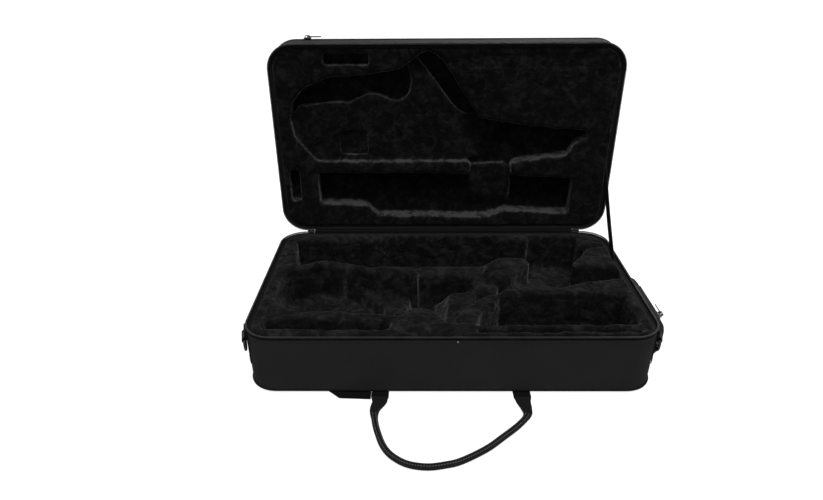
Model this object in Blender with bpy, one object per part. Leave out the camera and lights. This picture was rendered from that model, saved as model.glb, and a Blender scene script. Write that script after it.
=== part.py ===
"""Soft-shell double saxophone case, open, with moulded plush recesses in both halves.

Metres, +Z up. The base cover's underside is centred on the origin, -Y is the front with the carry
handle, and the lid stands open at the back on its fabric hinge. Each half is a sewn cover over
stiff boards, a wall frame, a foam pad and padded blocks that leave the instruments' recesses. The
case rests on two lengths of webbing under the base.
"""

import math

import bmesh
import bpy
from mathutils import Matrix, Vector

# Shell, both halves
CASE_W = 0.676
CASE_D = 0.382
CORNER_R = 0.048
CORNER_STEPS = 6
SKIN = 0.0016
GAP = 0.0003
BOARD = 0.006
FRAME_WALL = 0.007
COVER_EDGE = 0.005

# Heights, measured from each half's outer face to its mouth
BASE_H = 0.110
LID_H = 0.052
COVER_TO_MOUTH = 0.006
FRAME_TO_MOUTH = 0.0065
BASE_PAD = 0.018
LID_PAD = 0.0068

# Zip between the halves
TAPE_T = 0.0010
TAPE_H = 0.0025
COIL_PROUD = 0.0010
COIL_T = 0.0030
COIL_H = 0.0027
MOUTH_GAP = 0.0002

# Fabric hinge and the lid's swing
HINGE_CLEAR = 0.0005
HINGE_HALF_W = 0.2745
HINGE_STRIP_T = 0.0015
HINGE_STRIP_BASE = 0.024
HINGE_STRIP_LID = 0.022
OPEN_ANGLE = math.radians(90)

# Piping sewn round the outer edges
PIPING_R = 0.0018
PIPING_SIDES = 6
PIPING_RISE = 0.0022

# Padded blocks round the recesses, each top measured down from its half's mouth
BLOCK_JOINT = 0.0004
BLOCK_EDGE = 0.003
BORDER_DROP = 0.004
RIDGE_DROP = 0.007
DIVIDER_DROP = 0.011
SADDLE_DROP = 0.020
PILLOW_DROP = 0.030
CENTRE_DROP = 0.050
STEP_DROP = 0.060
LID_BORDER_DROP = 0.005
LID_BAR_DROP = 0.007
LID_BELL_DROP = 0.020
LID_BADGE_T = 0.0025
LID_SLOT_DEPTH = 0.020
LID_TRAY_DEPTH = 0.016
CUT_OVERRUN = 0.010

# Webbing under the base, which the case stands on, and the loose tail beside it
WEB_W = 0.029
WEB_T = 0.0024
WEB_X = 0.117
WEB_FRONT_REACH = 0.0122
WEB_BACK_MARGIN = 0.008
TAIL_T = 0.0019
TAIL_REACH = 0.018
TAIL_TUCK = 0.030
TAIL_LENGTH = 0.072

# Carry handles: rolled webbing with flat roots
HANDLE_REACH = 0.150
HANDLE_TUBE_R = 0.0060
HANDLE_TUBE_SIDES = 8
HANDLE_PLAY = 0.0003
HANDLE_START = 0.0006
HANDLE_FLARE = 0.042
LID_PATCH_L = 0.024
LID_PATCH_T = 0.0016
LID_PATCH_EDGE = 0.008

# Rings for a shoulder strap, on webbing round the front corners
RING_TAB_W = 0.025
RING_TAB_T = 0.0012
RING_TAB_TO_MOUTH = 0.0065
RING_FOLD_H = 0.018
RING_PATCH_L = 0.0655
RING_WIRE_R = 0.0024
RING_SIDE_PLAY = 0.0006
RING_DROP = 0.023
RING_BORE_PLAY = 0.0005

# Stay strap that stops the lid, at the right wall
STAY_W = 0.020
STAY_T = 0.0015
STAY_BACK = 0.114
STAY_RISE = 0.128

# Flat outer pocket over the lid, with its own zip round the front
POCKET_T = 0.0097
POCKET_INSET = 0.0015
POCKET_ZIP_W = 0.0036
POCKET_ZIP_T = 0.0022
POCKET_ZIP_LOW = 0.0006
POCKET_ZIP_SIDE = 0.060
POCKET_SLIDER_X = 0.266

# Pouch on the right wall
POUCH_TO_RING = 0.016
POUCH_BULGE = 0.032
POUCH_LOW = 0.018
POUCH_TO_MOUTH = 0.012
POUCH_ZIP_W = 0.0050
POUCH_ZIP_T = 0.0018
POUCH_SLIDER_MARGIN = 0.001

# Zip sliders and their pulls
SLIDER_L = 0.014
SLIDER_W = 0.0080
SLIDER_T = 0.0022
ARCH_L = 0.0100
ARCH_W = 0.0034
ARCH_H = 0.0046
ARCH_WALL = 0.0013
PULL_L = 0.026
PULL_W = 0.0084
PULL_TIP_W = 0.0066
PULL_T = 0.0016
PULL_BAR = 0.0016
PULL_ARM = 0.0014
PULL_HOLE_L = 0.0066
BAR_HEIGHT = 0.0017
KEEL_HALF_W = 0.0036
KEEL_TOP = 0.0068
MAIN_SLIDER_GAP = 0.0015

# Rivet under the rim at the front
RIVET_R = 0.0021
RIVET_H = 0.0012
RIVET_X = 0.009
RIVET_DROP = 0.010
RIVET_SIDES = 10

# Derived places
HALF_W = CASE_W / 2
HALF_D = CASE_D / 2
FRAME_INSET = SKIN + GAP
BOARD_EDGE = COVER_EDGE + math.sqrt(2) * (SKIN + GAP) - 2 * FRAME_INSET
LINER_INSET = FRAME_INSET + FRAME_WALL + GAP
BASE_BOARD_TOP = FRAME_INSET + BOARD
BASE_PAD_LOW = BASE_BOARD_TOP + GAP
BASE_PAD_TOP = BASE_PAD_LOW + BASE_PAD
HINGE_Y = HALF_D + COIL_PROUD + HINGE_CLEAR
RING_TAB_TOP = BASE_H - RING_TAB_TO_MOUTH
SIDE_RUN = CASE_D - 2 * CORNER_R
LID_FACE = BASE_H + LID_H
LID_BOARD_LOW = LID_FACE - FRAME_INSET - BOARD
LID_PAD_HIGH = LID_BOARD_LOW - GAP
LID_PAD_LOW = LID_PAD_HIGH - LID_PAD
POCKET_FACE = LID_FACE + GAP + POCKET_T
PIPING_OFFSET = COVER_EDGE - PIPING_RISE - math.sqrt(2) * (PIPING_R + GAP)
WEB_TOP = -GAP
ZIP_END_X = HINGE_HALF_W + MAIN_SLIDER_GAP
MAIN_SLIDER_X = ZIP_END_X + SLIDER_L / 2

# Outlines of the base's blocks, as shares of half the width and half the depth
REAR_SHARES = [(-1.02, 0.88), (-1.02, 1.05), (1.02, 1.05), (1.02, 0.70), (0.92, 0.70),
               (0.845, 0.68), (0.83, 0.79), (0.83, 0.92), (0.53, 0.92), (0.51, 0.85),
               (0.355, 0.84), (0.335, 0.92), (-0.33, 0.92), (-0.38, 0.80), (-0.89, 0.785),
               (-0.93, 0.88)]
LEFT_SHARES = [(-1.02, 0.88), (-0.93, 0.88), (-0.89, 0.70), (-0.865, 0.37), (-0.87, 0.25),
               (-0.905, 0.13), (-0.915, 0), (-0.915, -0.37), (-0.875, -0.46), (-0.825, -0.52),
               (-0.74, -0.575), (-0.53, -0.585), (-0.325, -0.61), (-0.255, -0.65),
               (-0.29, -0.71), (-0.44, -0.715), (-0.91, -0.70), (-0.92, -0.845),
               (-1.02, -0.845)]
FRONT_SHARES = [(-1.02, -0.845), (-0.92, -0.845), (-0.325, -0.855), (-0.30, -0.80),
                (-0.29, -0.71), (-0.255, -0.65), (-0.21, -0.555), (-0.165, -0.51),
                (-0.11, -0.525), (-0.065, -0.60), (-0.03, -0.72), (0.025, -0.755),
                (0.125, -0.765), (0.125, -0.89), (0.49, -0.895), (0.53, -0.875), (0.59, -0.89),
                (0.90, -0.89), (0.925, -0.84), (1.02, -0.84), (1.02, -1.05), (-1.02, -1.05)]
FRONT_RIGHT_SHARES = [(0.125, -0.765), (1.02, -0.745), (1.02, -0.84), (0.925, -0.84),
                      (0.90, -0.81), (0.125, -0.815)]
RIGHT_SHARES = [(1.02, 0.02), (0.93, 0.02), (0.77, -0.035), (0.65, -0.115), (0.59, -0.15),
                (0.295, -0.18), (0.275, -0.255), (0.88, -0.255), (0.925, -0.30),
                (0.93, -0.745), (1.02, -0.745)]
RIGHT_REAR_SHARES = [(1.02, 0.675), (0.92, 0.66), (0.845, 0.61), (0.80, 0.47), (0.725, 0.29),
                     (0.74, 0.24), (0.83, 0.225), (0.93, 0.19), (1.02, 0.18)]
DIVIDER_SHARES = [(-0.87, 0.25), (-0.865, 0.34), (-0.84, 0.34), (-0.755, 0.435), (-0.65, 0.42),
                  (-0.56, 0.38), (-0.445, 0.295), (-0.355, 0.295), (-0.265, 0.31),
                  (-0.205, 0.28), (-0.155, 0.18), (-0.165, 0.05), (-0.20, 0.13),
                  (-0.25, 0.205), (-0.355, 0.215), (-0.445, 0.205), (-0.56, 0.28),
                  (-0.65, 0.335), (-0.71, 0.345), (-0.785, 0.325), (-0.845, 0.24)]
STEP_SHARES = [(-0.53, 0.24), (-0.445, 0.185), (-0.355, 0.195), (-0.26, 0.185), (-0.205, 0.09),
               (-0.20, -0.53), (-0.25, -0.63), (-0.315, -0.595), (-0.325, -0.30), (-0.35, -0.10)]
PILLOW_SHARES = [(-0.29, -0.26), (-0.225, -0.10), (-0.21, -0.50), (-0.245, -0.58), (-0.295, -0.54)]
SADDLE_SHARES = [(-0.145, 0.375), (0.25, 0.375), (0.229, 0.32), (0.203, 0.165), (0.262, 0.12),
                 (0.275, 0.00), (0.280, -0.05), (0.265, -0.15), (0.215, -0.16), (0.185, -0.09),
                 (0.165, 0.02), (0.15, 0.13), (0.11, 0.17), (0, 0.17), (-0.14, 0.16)]
KEY_RIDGE_SHARES = [(0.21, 0.17), (0.235, 0.31), (0.31, 0.45), (0.385, 0.48), (0.455, 0.45),
                    (0.485, 0.36), (0.47, 0.27), (0.405, 0.16), (0.35, 0.03), (0.28, 0.02),
                    (0.27, 0.13)]
FRONT_RIDGE_SHARES = [(0.27, -0.195), (0.205, -0.25), (0.145, -0.33), (0.09, -0.445),
                      (0.02, -0.63), (0.03, -0.74), (0.12, -0.75), (0.135, -0.655),
                      (0.165, -0.51), (0.215, -0.40), (0.27, -0.29)]
CENTRE_SHARES = [(0.02, 0.13), (0.15, 0.13), (0.165, 0.02), (0.185, -0.09), (0.215, -0.16),
                 (0.20, -0.235), (0.14, -0.31), (0.08, -0.43), (0.01, -0.60), (-0.02, -0.45)]

# Outlines of the lid's blocks, as shares of half the width and of the way from hinge to front
LID_TOP_LEFT_SHARES = [(-1.02, 0.63), (-0.905, 0.63), (-0.89, 0.705), (-0.83, 0.77),
                       (-0.755, 0.81), (-0.65, 0.84), (-0.445, 0.85), (-0.265, 0.875),
                       (-0.205, 0.91), (-0.15, 0.95), (-0.105, 0.965), (-0.105, 1.05),
                       (-1.02, 1.05)]
LID_TOP_RIGHT_SHARES = [(-0.105, 1.05), (-0.105, 0.965), (-0.06, 0.95), (-0.015, 0.915),
                        (0.045, 0.84), (0.09, 0.77), (0.135, 0.72), (0.165, 0.68),
                        (0.205, 0.63), (0.265, 0.62), (0.445, 0.595), (0.65, 0.575),
                        (0.845, 0.56), (1.02, 0.56), (1.02, 1.05)]
LID_RIGHT_SHARES = [(1.02, 0.56), (0.845, 0.56), (0.845, 0.525), (0.77, 0.485), (0.74, 0.43),
                    (0.65, 0.415), (0.445, 0.393), (0.405, 0.38), (0.405, 0.315),
                    (0.785, 0.30), (0.785, 0.092), (1.02, 0.092)]
LID_LEFT_SHARES = [(-1.02, 0.63), (-0.905, 0.63), (-0.895, 0.535), (-0.77, 0.393),
                   (-0.77, 0.15), (-1.02, 0.15)]
LID_BAR_SHARES = [(-0.77, 0.393), (0.13, 0.393), (0.16, 0.37), (0.155, 0.325), (-0.77, 0.333)]
LID_BOTTOM_SHARES = [(-1.02, 0.15), (-0.77, 0.15), (-0.475, 0.14), (-0.415, 0.08),
                     (0.28, 0.07), (0.37, 0.105), (0.785, 0.092), (1.02, 0.092),
                     (1.02, -0.05), (-1.02, -0.05)]
LID_BELL_SHARES = [(-0.895, 0.62), (-0.86, 0.68), (-0.74, 0.695), (-0.62, 0.70), (-0.56, 0.695),
                   (-0.50, 0.72), (-0.445, 0.745), (-0.385, 0.74), (-0.325, 0.715),
                   (-0.28, 0.705), (-0.235, 0.72), (-0.205, 0.75), (-0.19, 0.81),
                   (-0.215, 0.89), (-0.165, 0.93), (-0.12, 0.875), (0, 0.735), (0.06, 0.67),
                   (0.10, 0.645), (0.09, 0.40), (-0.765, 0.40), (-0.885, 0.535)]
LID_BADGE_SHARES = [(-0.62, 0.48), (-0.60, 0.46), (-0.48, 0.46), (-0.46, 0.48), (-0.46, 0.57),
                    (-0.48, 0.59), (-0.60, 0.59), (-0.62, 0.57)]
LID_SLOT_SHARES = [(-0.945, 0.17), (-0.88, 0.17), (-0.88, 0.35), (-0.945, 0.35)]
LID_TRAY_SHARES = [(-0.695, 0.895), (-0.43, 0.895), (-0.43, 0.955), (-0.695, 0.955)]

# Handle loop as it lies: shares of half the root spacing and of the reach
HANDLE_SHARES = [(-1.0, 0), (-1.0, 0.03), (-1.0, 0.08), (-1.055, 0.23), (-1.035, 0.41),
                 (-0.98, 0.58), (-0.905, 0.74), (-0.79, 0.865), (-0.60, 0.965), (-0.36, 1.0),
                 (-0.13, 0.975), (0.07, 0.925), (0.39, 0.775), (0.63, 0.615), (0.86, 0.45),
                 (1.0, 0.31), (1.015, 0.20), (1.0, 0.08), (1.0, 0.03), (1.0, 0)]

# Loose tail's outline: shares of its length and of its whole depth
TAIL_SHARES = [(0, 1), (0, 0), (-0.72, 0.05), (-1.0, 0.42), (-1.0, 1)]

# Pouch section: shares of the bulge and of the height; its fullness at shares of the length
POUCH_SECTION_SHARES = [(0, 0), (0.55, 0), (0.92, 0.14), (1.0, 0.40), (0.94, 0.70),
                        (0.44, 1.0), (0, 1.0)]
POUCH_FULL_SHARES = [(0, 0.25), (0.03, 0.70), (0.12, 0.97), (0.20, 1.0), (0.80, 1.0),
                     (0.88, 0.97), (0.97, 0.70), (1.0, 0.25)]
POUCH_ZIP_END_SHARE = 0.16
POUCH_LENGTH_SHARE = 0.525


def material(name, colour, roughness, metallic=0.0):
    """A plain surface with one colour."""
    made = bpy.data.materials.new(name)
    made.use_nodes = True
    shader = made.node_tree.nodes["Principled BSDF"]
    shader.inputs["Base Color"].default_value = (*colour, 1.0)
    shader.inputs["Roughness"].default_value = roughness
    shader.inputs["Metallic"].default_value = metallic
    return made


def empty(name, matrix, parent=None):
    """A joint's or a track's place."""
    made = bpy.data.objects.new(name, None)
    bpy.context.scene.collection.objects.link(made)
    made.parent = parent
    made.matrix_local = matrix
    return made


def add(name, bm, surface, parent=None, from_case=False):
    """Turns a bmesh into a named object; from_case moves case coordinates to the lid's hinge."""
    if from_case:
        bmesh.ops.translate(bm, verts=bm.verts, vec=Vector((0, -HINGE_Y, -BASE_H)))
    bmesh.ops.recalc_face_normals(bm, faces=bm.faces)
    mesh = bpy.data.meshes.new(name)
    bm.to_mesh(mesh)
    bm.free()
    mesh.materials.append(surface)
    made = bpy.data.objects.new(name, mesh)
    bpy.context.scene.collection.objects.link(made)
    made.parent = parent
    return made


def hide_cutter(made):
    """Marks a cutting shape, which is no piece of the case."""
    made.hide_render = True
    made.display_type = 'WIRE'


def boolean(target, cutter, operation):
    """Adds a Boolean that cuts, trims or joins."""
    step = target.modifiers.new(operation.lower(), 'BOOLEAN')
    step.operation = operation
    step.solver = 'EXACT'
    step.object = cutter


def loft(bm, rings, closed=False):
    """Skins matching rings of points, with flat ends unless the row of rings is closed."""
    made = [[bm.verts.new(point) for point in ring] for ring in rings]
    pairs = list(zip(made, made[1:]))
    if closed:
        pairs.append((made[-1], made[0]))
    for one, two in pairs:
        for index in range(len(one)):
            after = (index + 1) % len(one)
            bm.faces.new((one[index], one[after], two[after], two[index]))
    if not closed:
        bm.faces.new(made[0])
        bm.faces.new(reversed(made[-1]))


def plan_corner(side_x, side_y, inset, steps=CORNER_STEPS):
    """One rounded corner of the plan, moved in by inset, counter-clockwise."""
    centre = Vector((side_x * (HALF_W - CORNER_R), side_y * (HALF_D - CORNER_R)))
    start = {(1, -1): -90, (1, 1): 0, (-1, 1): 90, (-1, -1): 180}[(side_x, side_y)]
    points = []
    for index in range(steps + 1):
        angle = math.radians(start + 90 * index / steps)
        points.append(centre + (CORNER_R - inset) * Vector((math.cos(angle), math.sin(angle))))
    return points


def whole_plan(inset):
    """The full rounded outline."""
    return (plan_corner(1, -1, inset) + plan_corner(1, 1, inset)
            + plan_corner(-1, 1, inset) + plan_corner(-1, -1, inset))


def zip_plan(inset):
    """The zip's way round: from the hinge's left end by the front to its right end."""
    back = HALF_D - inset
    return ([Vector((-ZIP_END_X, back))] + plan_corner(-1, 1, inset) + plan_corner(-1, -1, inset)
            + plan_corner(1, -1, inset) + plan_corner(1, 1, inset) + [Vector((ZIP_END_X, back))])


def pocket_zip_plan(inset):
    """The outer pocket's zip: along the front and a little way down both sides."""
    left = plan_corner(-1, -1, inset)
    right = plan_corner(1, -1, inset)
    run = Vector((0, POCKET_ZIP_SIDE))
    return [left[0] + run] + left + right + [right[-1] + run]


def plan_sweep(plan, section, closed):
    """Sweeps a section of (inset, height) points along a plan outline."""
    sides = [plan(inset) for inset, _ in section]
    rings = [[(side[index].x, side[index].y, height) for side, (_, height) in zip(sides, section)]
             for index in range(len(sides[0]))]
    bm = bmesh.new()
    loft(bm, rings, closed)
    return bm


def box_section(inset_low, inset_high, low, high):
    """A plain rectangle for plan_sweep."""
    return [(inset_low, low), (inset_high, low), (inset_high, high), (inset_low, high)]


def round_section(inset, height, radius, sides):
    """A round section for plan_sweep."""
    return [(inset - radius * math.cos(math.tau * index / sides),
             height + radius * math.sin(math.tau * index / sides)) for index in range(sides)]


def prism(outline, back, front, edge=0, joint=0):
    """Extrudes an outline from its back height to its front one, drawn in by half a joint."""
    bm = bmesh.new()
    face = bm.faces.new([bm.verts.new((point[0], point[1], back)) for point in outline])
    if joint:
        rim = bmesh.ops.inset_region(bm, faces=[face], thickness=joint / 2, use_even_offset=True)
        bmesh.ops.delete(bm, geom=rim["faces"], context='FACES')
        face = bm.faces[:][0]
    lifted = bmesh.ops.extrude_face_region(bm, geom=[face], use_keep_orig=True)
    moved = [item for item in lifted["geom"] if isinstance(item, bmesh.types.BMVert)]
    bmesh.ops.translate(bm, verts=moved, vec=Vector((0, 0, front - back)))
    bmesh.ops.recalc_face_normals(bm, faces=bm.faces)
    if edge:
        kept = set(moved)
        rim = [line for line in bm.edges if kept.issuperset(line.verts)]
        bmesh.ops.bevel(bm, geom=rim, offset=edge, segments=1, profile=0.5, affect='EDGES',
                        clamp_overlap=True, material=-1)
    return bm


def tray(name, inset, face_height, mouth_height, surface, parent=None, from_case=False):
    """A cover: outer face, edge and walls of one skin, open at the mouth."""
    bm = prism(whole_plan(inset), mouth_height, face_height, edge=COVER_EDGE)
    mouth = [face for face in bm.faces
             if all(abs(vert.co.z - mouth_height) < GAP for vert in face.verts)]
    bmesh.ops.delete(bm, geom=mouth, context='FACES')
    made = add(name, bm, surface, parent, from_case)
    wall = made.modifiers.new("skin", 'SOLIDIFY')
    wall.thickness = SKIN
    wall.offset = -1
    wall.use_even_offset = True
    return made


def planar_sweep(path, section, closed=False):
    """Sweeps a section along a flat path of (x, y) points.

    section gives, for a point's index, the (across, up) offsets there.
    """
    count = len(path)
    rings = []
    for index, point in enumerate(path):
        before = path[(index - 1) % count] if closed or index else point
        after = path[(index + 1) % count] if closed or index < count - 1 else point
        along = (Vector(after) - Vector(before)).normalized()
        across = Vector((along.y, -along.x))
        rings.append([(point[0] + across.x * out, point[1] + across.y * out, up)
                      for out, up in section(index)])
    bm = bmesh.new()
    loft(bm, rings, closed)
    return bm


def case_points(shares):
    """Base block outline in case coordinates."""
    return [(x_share * HALF_W, y_share * HALF_D) for x_share, y_share in shares]


def lid_points(shares):
    """Lid block outline, with the lid closed over the base."""
    return [(x_share * HALF_W, HALF_D - rise_share * CASE_D) for x_share, rise_share in shares]


def smooth_path(points, steps):
    """A smooth curve through the points, by Catmull and Rom's rule."""
    padded = [points[0]] + list(points) + [points[-1]]
    curve = []
    for index in range(len(points) - 1):
        a, b, c, d = (Vector(point) for point in padded[index:index + 4])
        for step in range(steps):
            t = step / steps
            curve.append(0.5 * (2 * b + (c - a) * t + (2 * a - 5 * b + 4 * c - d) * t ** 2
                                + (3 * b - a - 3 * c + d) * t ** 3))
    curve.append(Vector(points[-1]))
    return curve


def frame_matrix(origin, x_axis, y_axis):
    """A place whose X and Y axes point the given ways."""
    x_axis = Vector(x_axis).normalized()
    y_axis = Vector(y_axis).normalized()
    turned = Matrix((x_axis, y_axis, x_axis.cross(y_axis))).transposed()
    return Matrix.Translation(origin) @ turned.to_4x4()


def build_shell(make):
    """Covers, boards, wall frames and foam pads of both halves."""
    base_frame_top = BASE_H - FRAME_TO_MOUTH
    lid_frame_low = BASE_H + FRAME_TO_MOUTH
    lid = make["lid"]
    tray("base_cover", 0, 0, BASE_H - COVER_TO_MOUTH, make["nylon"])
    board = prism(whole_plan(FRAME_INSET), BASE_BOARD_TOP, FRAME_INSET, edge=BOARD_EDGE)
    add("base_floor_board", board, make["board"])
    section = box_section(FRAME_INSET, FRAME_INSET + FRAME_WALL, BASE_PAD_LOW, base_frame_top)
    add("base_wall_frame", plan_sweep(whole_plan, section, closed=True), make["board"])
    add("base_floor_pad", prism(whole_plan(LINER_INSET), BASE_PAD_LOW, BASE_PAD_TOP),
        make["plush"])

    tray("lid_cover", 0, LID_FACE, BASE_H + COVER_TO_MOUTH, make["nylon"], lid, True)
    board = prism(whole_plan(FRAME_INSET), LID_BOARD_LOW, LID_BOARD_LOW + BOARD, BOARD_EDGE)
    add("lid_outer_board", board, make["board"], lid, True)
    section = box_section(FRAME_INSET, FRAME_INSET + FRAME_WALL, lid_frame_low, LID_PAD_HIGH)
    add("lid_wall_frame", plan_sweep(whole_plan, section, closed=True), make["board"], lid, True)
    pad = prism(whole_plan(LINER_INSET), LID_PAD_LOW, LID_PAD_HIGH)
    add("lid_backing_pad", pad, make["plush"], lid, True)


def build_zip(make):
    """The two halves of the main zip, parted, each a tape with its coil."""
    lid = make["lid"]
    tape_low = BASE_H - COVER_TO_MOUTH + GAP
    coil_low = BASE_H - MOUTH_GAP - COIL_H
    tape = box_section(GAP, GAP + TAPE_T, tape_low, tape_low + TAPE_H)
    coil = box_section(-COIL_PROUD, COIL_T - COIL_PROUD, coil_low, coil_low + COIL_H)
    add("base_zip_tape", plan_sweep(zip_plan, tape, closed=False), make["webbing"])
    add("base_zip_coil", plan_sweep(zip_plan, coil, closed=False), make["coil"])
    for name, section, surface in (("lid_zip_tape", tape, "webbing"),
                                   ("lid_zip_coil", coil, "coil")):
        mirrored = [(inset, 2 * BASE_H - height) for inset, height in section]
        add(name, plan_sweep(zip_plan, mirrored, closed=False), make[surface], lid, True)


def build_piping(make):
    """Piping in the chamfer of the base's bottom edge and of the outer pocket's edge."""
    section = round_section(PIPING_OFFSET, PIPING_RISE, PIPING_R, PIPING_SIDES)
    add("base_bottom_piping", plan_sweep(whole_plan, section, closed=True), make["piping"])
    section = round_section(POCKET_INSET + PIPING_OFFSET, POCKET_FACE - PIPING_RISE, PIPING_R,
                            PIPING_SIDES)
    add("lid_pocket_piping", plan_sweep(whole_plan, section, closed=True), make["piping"],
        make["lid"], True)


def block(name, outline, back, front, surface, trim=None, parent=None, from_case=False):
    """A padded block, trimmed to the inside of the wall frame where it reaches it."""
    bm = prism(outline, back, front, edge=BLOCK_EDGE, joint=BLOCK_JOINT)
    made = add(name, bm, surface, parent, from_case)
    if trim:
        boolean(made, trim, 'INTERSECT')
    return made


def build_base_liner(make):
    """Padded blocks that leave the wells of the base."""
    low = BASE_PAD_TOP + GAP
    space = add("base_liner_space",
                prism(whole_plan(LINER_INSET), BASE_PAD_TOP - CUT_OVERRUN, BASE_H + CUT_OVERRUN),
                make["plush"])
    hide_cutter(space)
    plush = make["plush"]
    for name, shares, drop in (("base_liner_rear", REAR_SHARES, BORDER_DROP),
                               ("base_liner_left", LEFT_SHARES, BORDER_DROP),
                               ("base_liner_front", FRONT_SHARES, BORDER_DROP),
                               ("base_liner_front_right", FRONT_RIGHT_SHARES, RIDGE_DROP),
                               ("base_liner_right", RIGHT_SHARES, RIDGE_DROP),
                               ("base_liner_right_rear", RIGHT_REAR_SHARES, BORDER_DROP)):
        block(name, case_points(shares), low, BASE_H - drop, plush, trim=space)
    for name, shares, drop in (("base_liner_divider", DIVIDER_SHARES, DIVIDER_DROP),
                               ("base_liner_saddle", SADDLE_SHARES, SADDLE_DROP),
                               ("base_liner_key_ridge", KEY_RIDGE_SHARES, RIDGE_DROP),
                               ("base_liner_front_ridge", FRONT_RIDGE_SHARES, DIVIDER_DROP),
                               ("base_liner_centre", CENTRE_SHARES, CENTRE_DROP)):
        block(name, case_points(shares), low, BASE_H - drop, plush)
    step_top = BASE_H - STEP_DROP
    step = block("base_liner_step", case_points(STEP_SHARES), low, step_top, plush)
    pillow = block("base_liner_pillow", case_points(PILLOW_SHARES), step_top - BLOCK_EDGE,
                   BASE_H - PILLOW_DROP, plush)
    hide_cutter(pillow)
    boolean(step, pillow, 'UNION')


def build_lid_liner(make):
    """Padded blocks that leave the two long recesses of the lid."""
    lid, plush = make["lid"], make["plush"]
    high = LID_PAD_LOW - GAP
    space = add("lid_liner_space",
                prism(whole_plan(LINER_INSET), BASE_H - CUT_OVERRUN, LID_PAD_LOW + CUT_OVERRUN),
                plush, lid, True)
    hide_cutter(space)
    made = {}
    for name, shares, depth in (("lid_liner_top_left", LID_TOP_LEFT_SHARES, LID_BORDER_DROP),
                                ("lid_liner_top_right", LID_TOP_RIGHT_SHARES, LID_BORDER_DROP),
                                ("lid_liner_right", LID_RIGHT_SHARES, LID_BORDER_DROP),
                                ("lid_liner_left", LID_LEFT_SHARES, LID_BORDER_DROP),
                                ("lid_liner_bottom", LID_BOTTOM_SHARES, LID_BORDER_DROP)):
        made[name] = block(name, lid_points(shares), high, BASE_H + depth, plush, space, lid, True)
    block("lid_liner_bar", lid_points(LID_BAR_SHARES), high, BASE_H + LID_BAR_DROP, plush,
          None, lid, True)
    floor = BASE_H + LID_BELL_DROP
    bell = block("lid_liner_bell_floor", lid_points(LID_BELL_SHARES), high, floor, plush,
                 None, lid, True)
    badge = prism(lid_points(LID_BADGE_SHARES), floor + LID_BADGE_T, floor - LID_BADGE_T)
    badge = add("lid_liner_square_pad", badge, plush, lid, True)
    hide_cutter(badge)
    boolean(bell, badge, 'UNION')
    for target, shares, depth in (("lid_liner_left", LID_SLOT_SHARES, LID_SLOT_DEPTH),
                                  ("lid_liner_top_left", LID_TRAY_SHARES, LID_TRAY_DEPTH)):
        mouth = BASE_H + LID_BORDER_DROP
        cutter = add(target + "_cut", prism(lid_points(shares), mouth - CUT_OVERRUN,
                                            mouth + depth), plush, lid, True)
        hide_cutter(cutter)
        boolean(made[target], cutter, 'DIFFERENCE')


def build_hinge_and_stay(make):
    """The fabric strip that hinges the lid, and the strap that stops it upright."""
    inner = HALF_D + GAP
    outer = inner + HINGE_STRIP_T
    ceiling = BASE_H + HINGE_Y - HALF_D - GAP
    floor = ceiling - HINGE_STRIP_T
    low = BASE_H - HINGE_STRIP_BASE
    back = HINGE_Y + HINGE_STRIP_LID
    section = [(inner, low), (outer, low), (outer, floor), (back, floor), (back, ceiling),
               (inner, ceiling)]
    bm = bmesh.new()
    loft(bm, [[(side * HINGE_HALF_W, y, z) for y, z in section] for side in (-1, 1)])
    add("hinge_strip", bm, make["nylon"])

    foot = Vector((HINGE_Y - STAY_BACK, BASE_H - FRAME_TO_MOUTH + GAP))
    head = Vector((HINGE_Y + FRAME_TO_MOUTH - GAP, BASE_H + STAY_RISE))
    along = (head - foot).normalized()
    foot_half = Vector((STAY_W / 2 / along.y, 0))
    head_half = Vector((0, STAY_W / 2 / along.x))
    outline = [foot - foot_half, foot + foot_half, head - head_half, head + head_half]
    inner_x = HALF_W - LINER_INSET + GAP
    bm = bmesh.new()
    loft(bm, [[(x, point.x, point.y) for point in outline] for x in (inner_x, inner_x + STAY_T)])
    add("stay_strap", bm, make["webbing"])


def webbing_strip(side, front, back, low, high):
    """A flat length of webbing at one root of a carry handle."""
    left, right = side * WEB_X - WEB_W / 2, side * WEB_X + WEB_W / 2
    bm = bmesh.new()
    loft(bm, [[(left, y, low), (right, y, low), (right, y, high), (left, y, high)]
              for y in (front, back)])
    return bm


def build_webbing(make):
    """Webbing under the base, which carries the handle, and the loose tail beside it."""
    for side, word in ((-1, "left"), (1, "right")):
        strip = webbing_strip(side, -HALF_D - WEB_FRONT_REACH, HALF_D - WEB_BACK_MARGIN,
                              WEB_TOP - WEB_T, WEB_TOP)
        add(f"carry_webbing_{word}", strip, make["webbing"])

    depth = TAIL_REACH + TAIL_TUCK
    start = -WEB_X - WEB_W / 2 - GAP
    outline = [(start + x_share * TAIL_LENGTH, -HALF_D - TAIL_REACH + y_share * depth)
               for x_share, y_share in TAIL_SHARES]
    add("webbing_tail", prism(outline, WEB_TOP - TAIL_T, WEB_TOP), make["webbing"])


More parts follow.
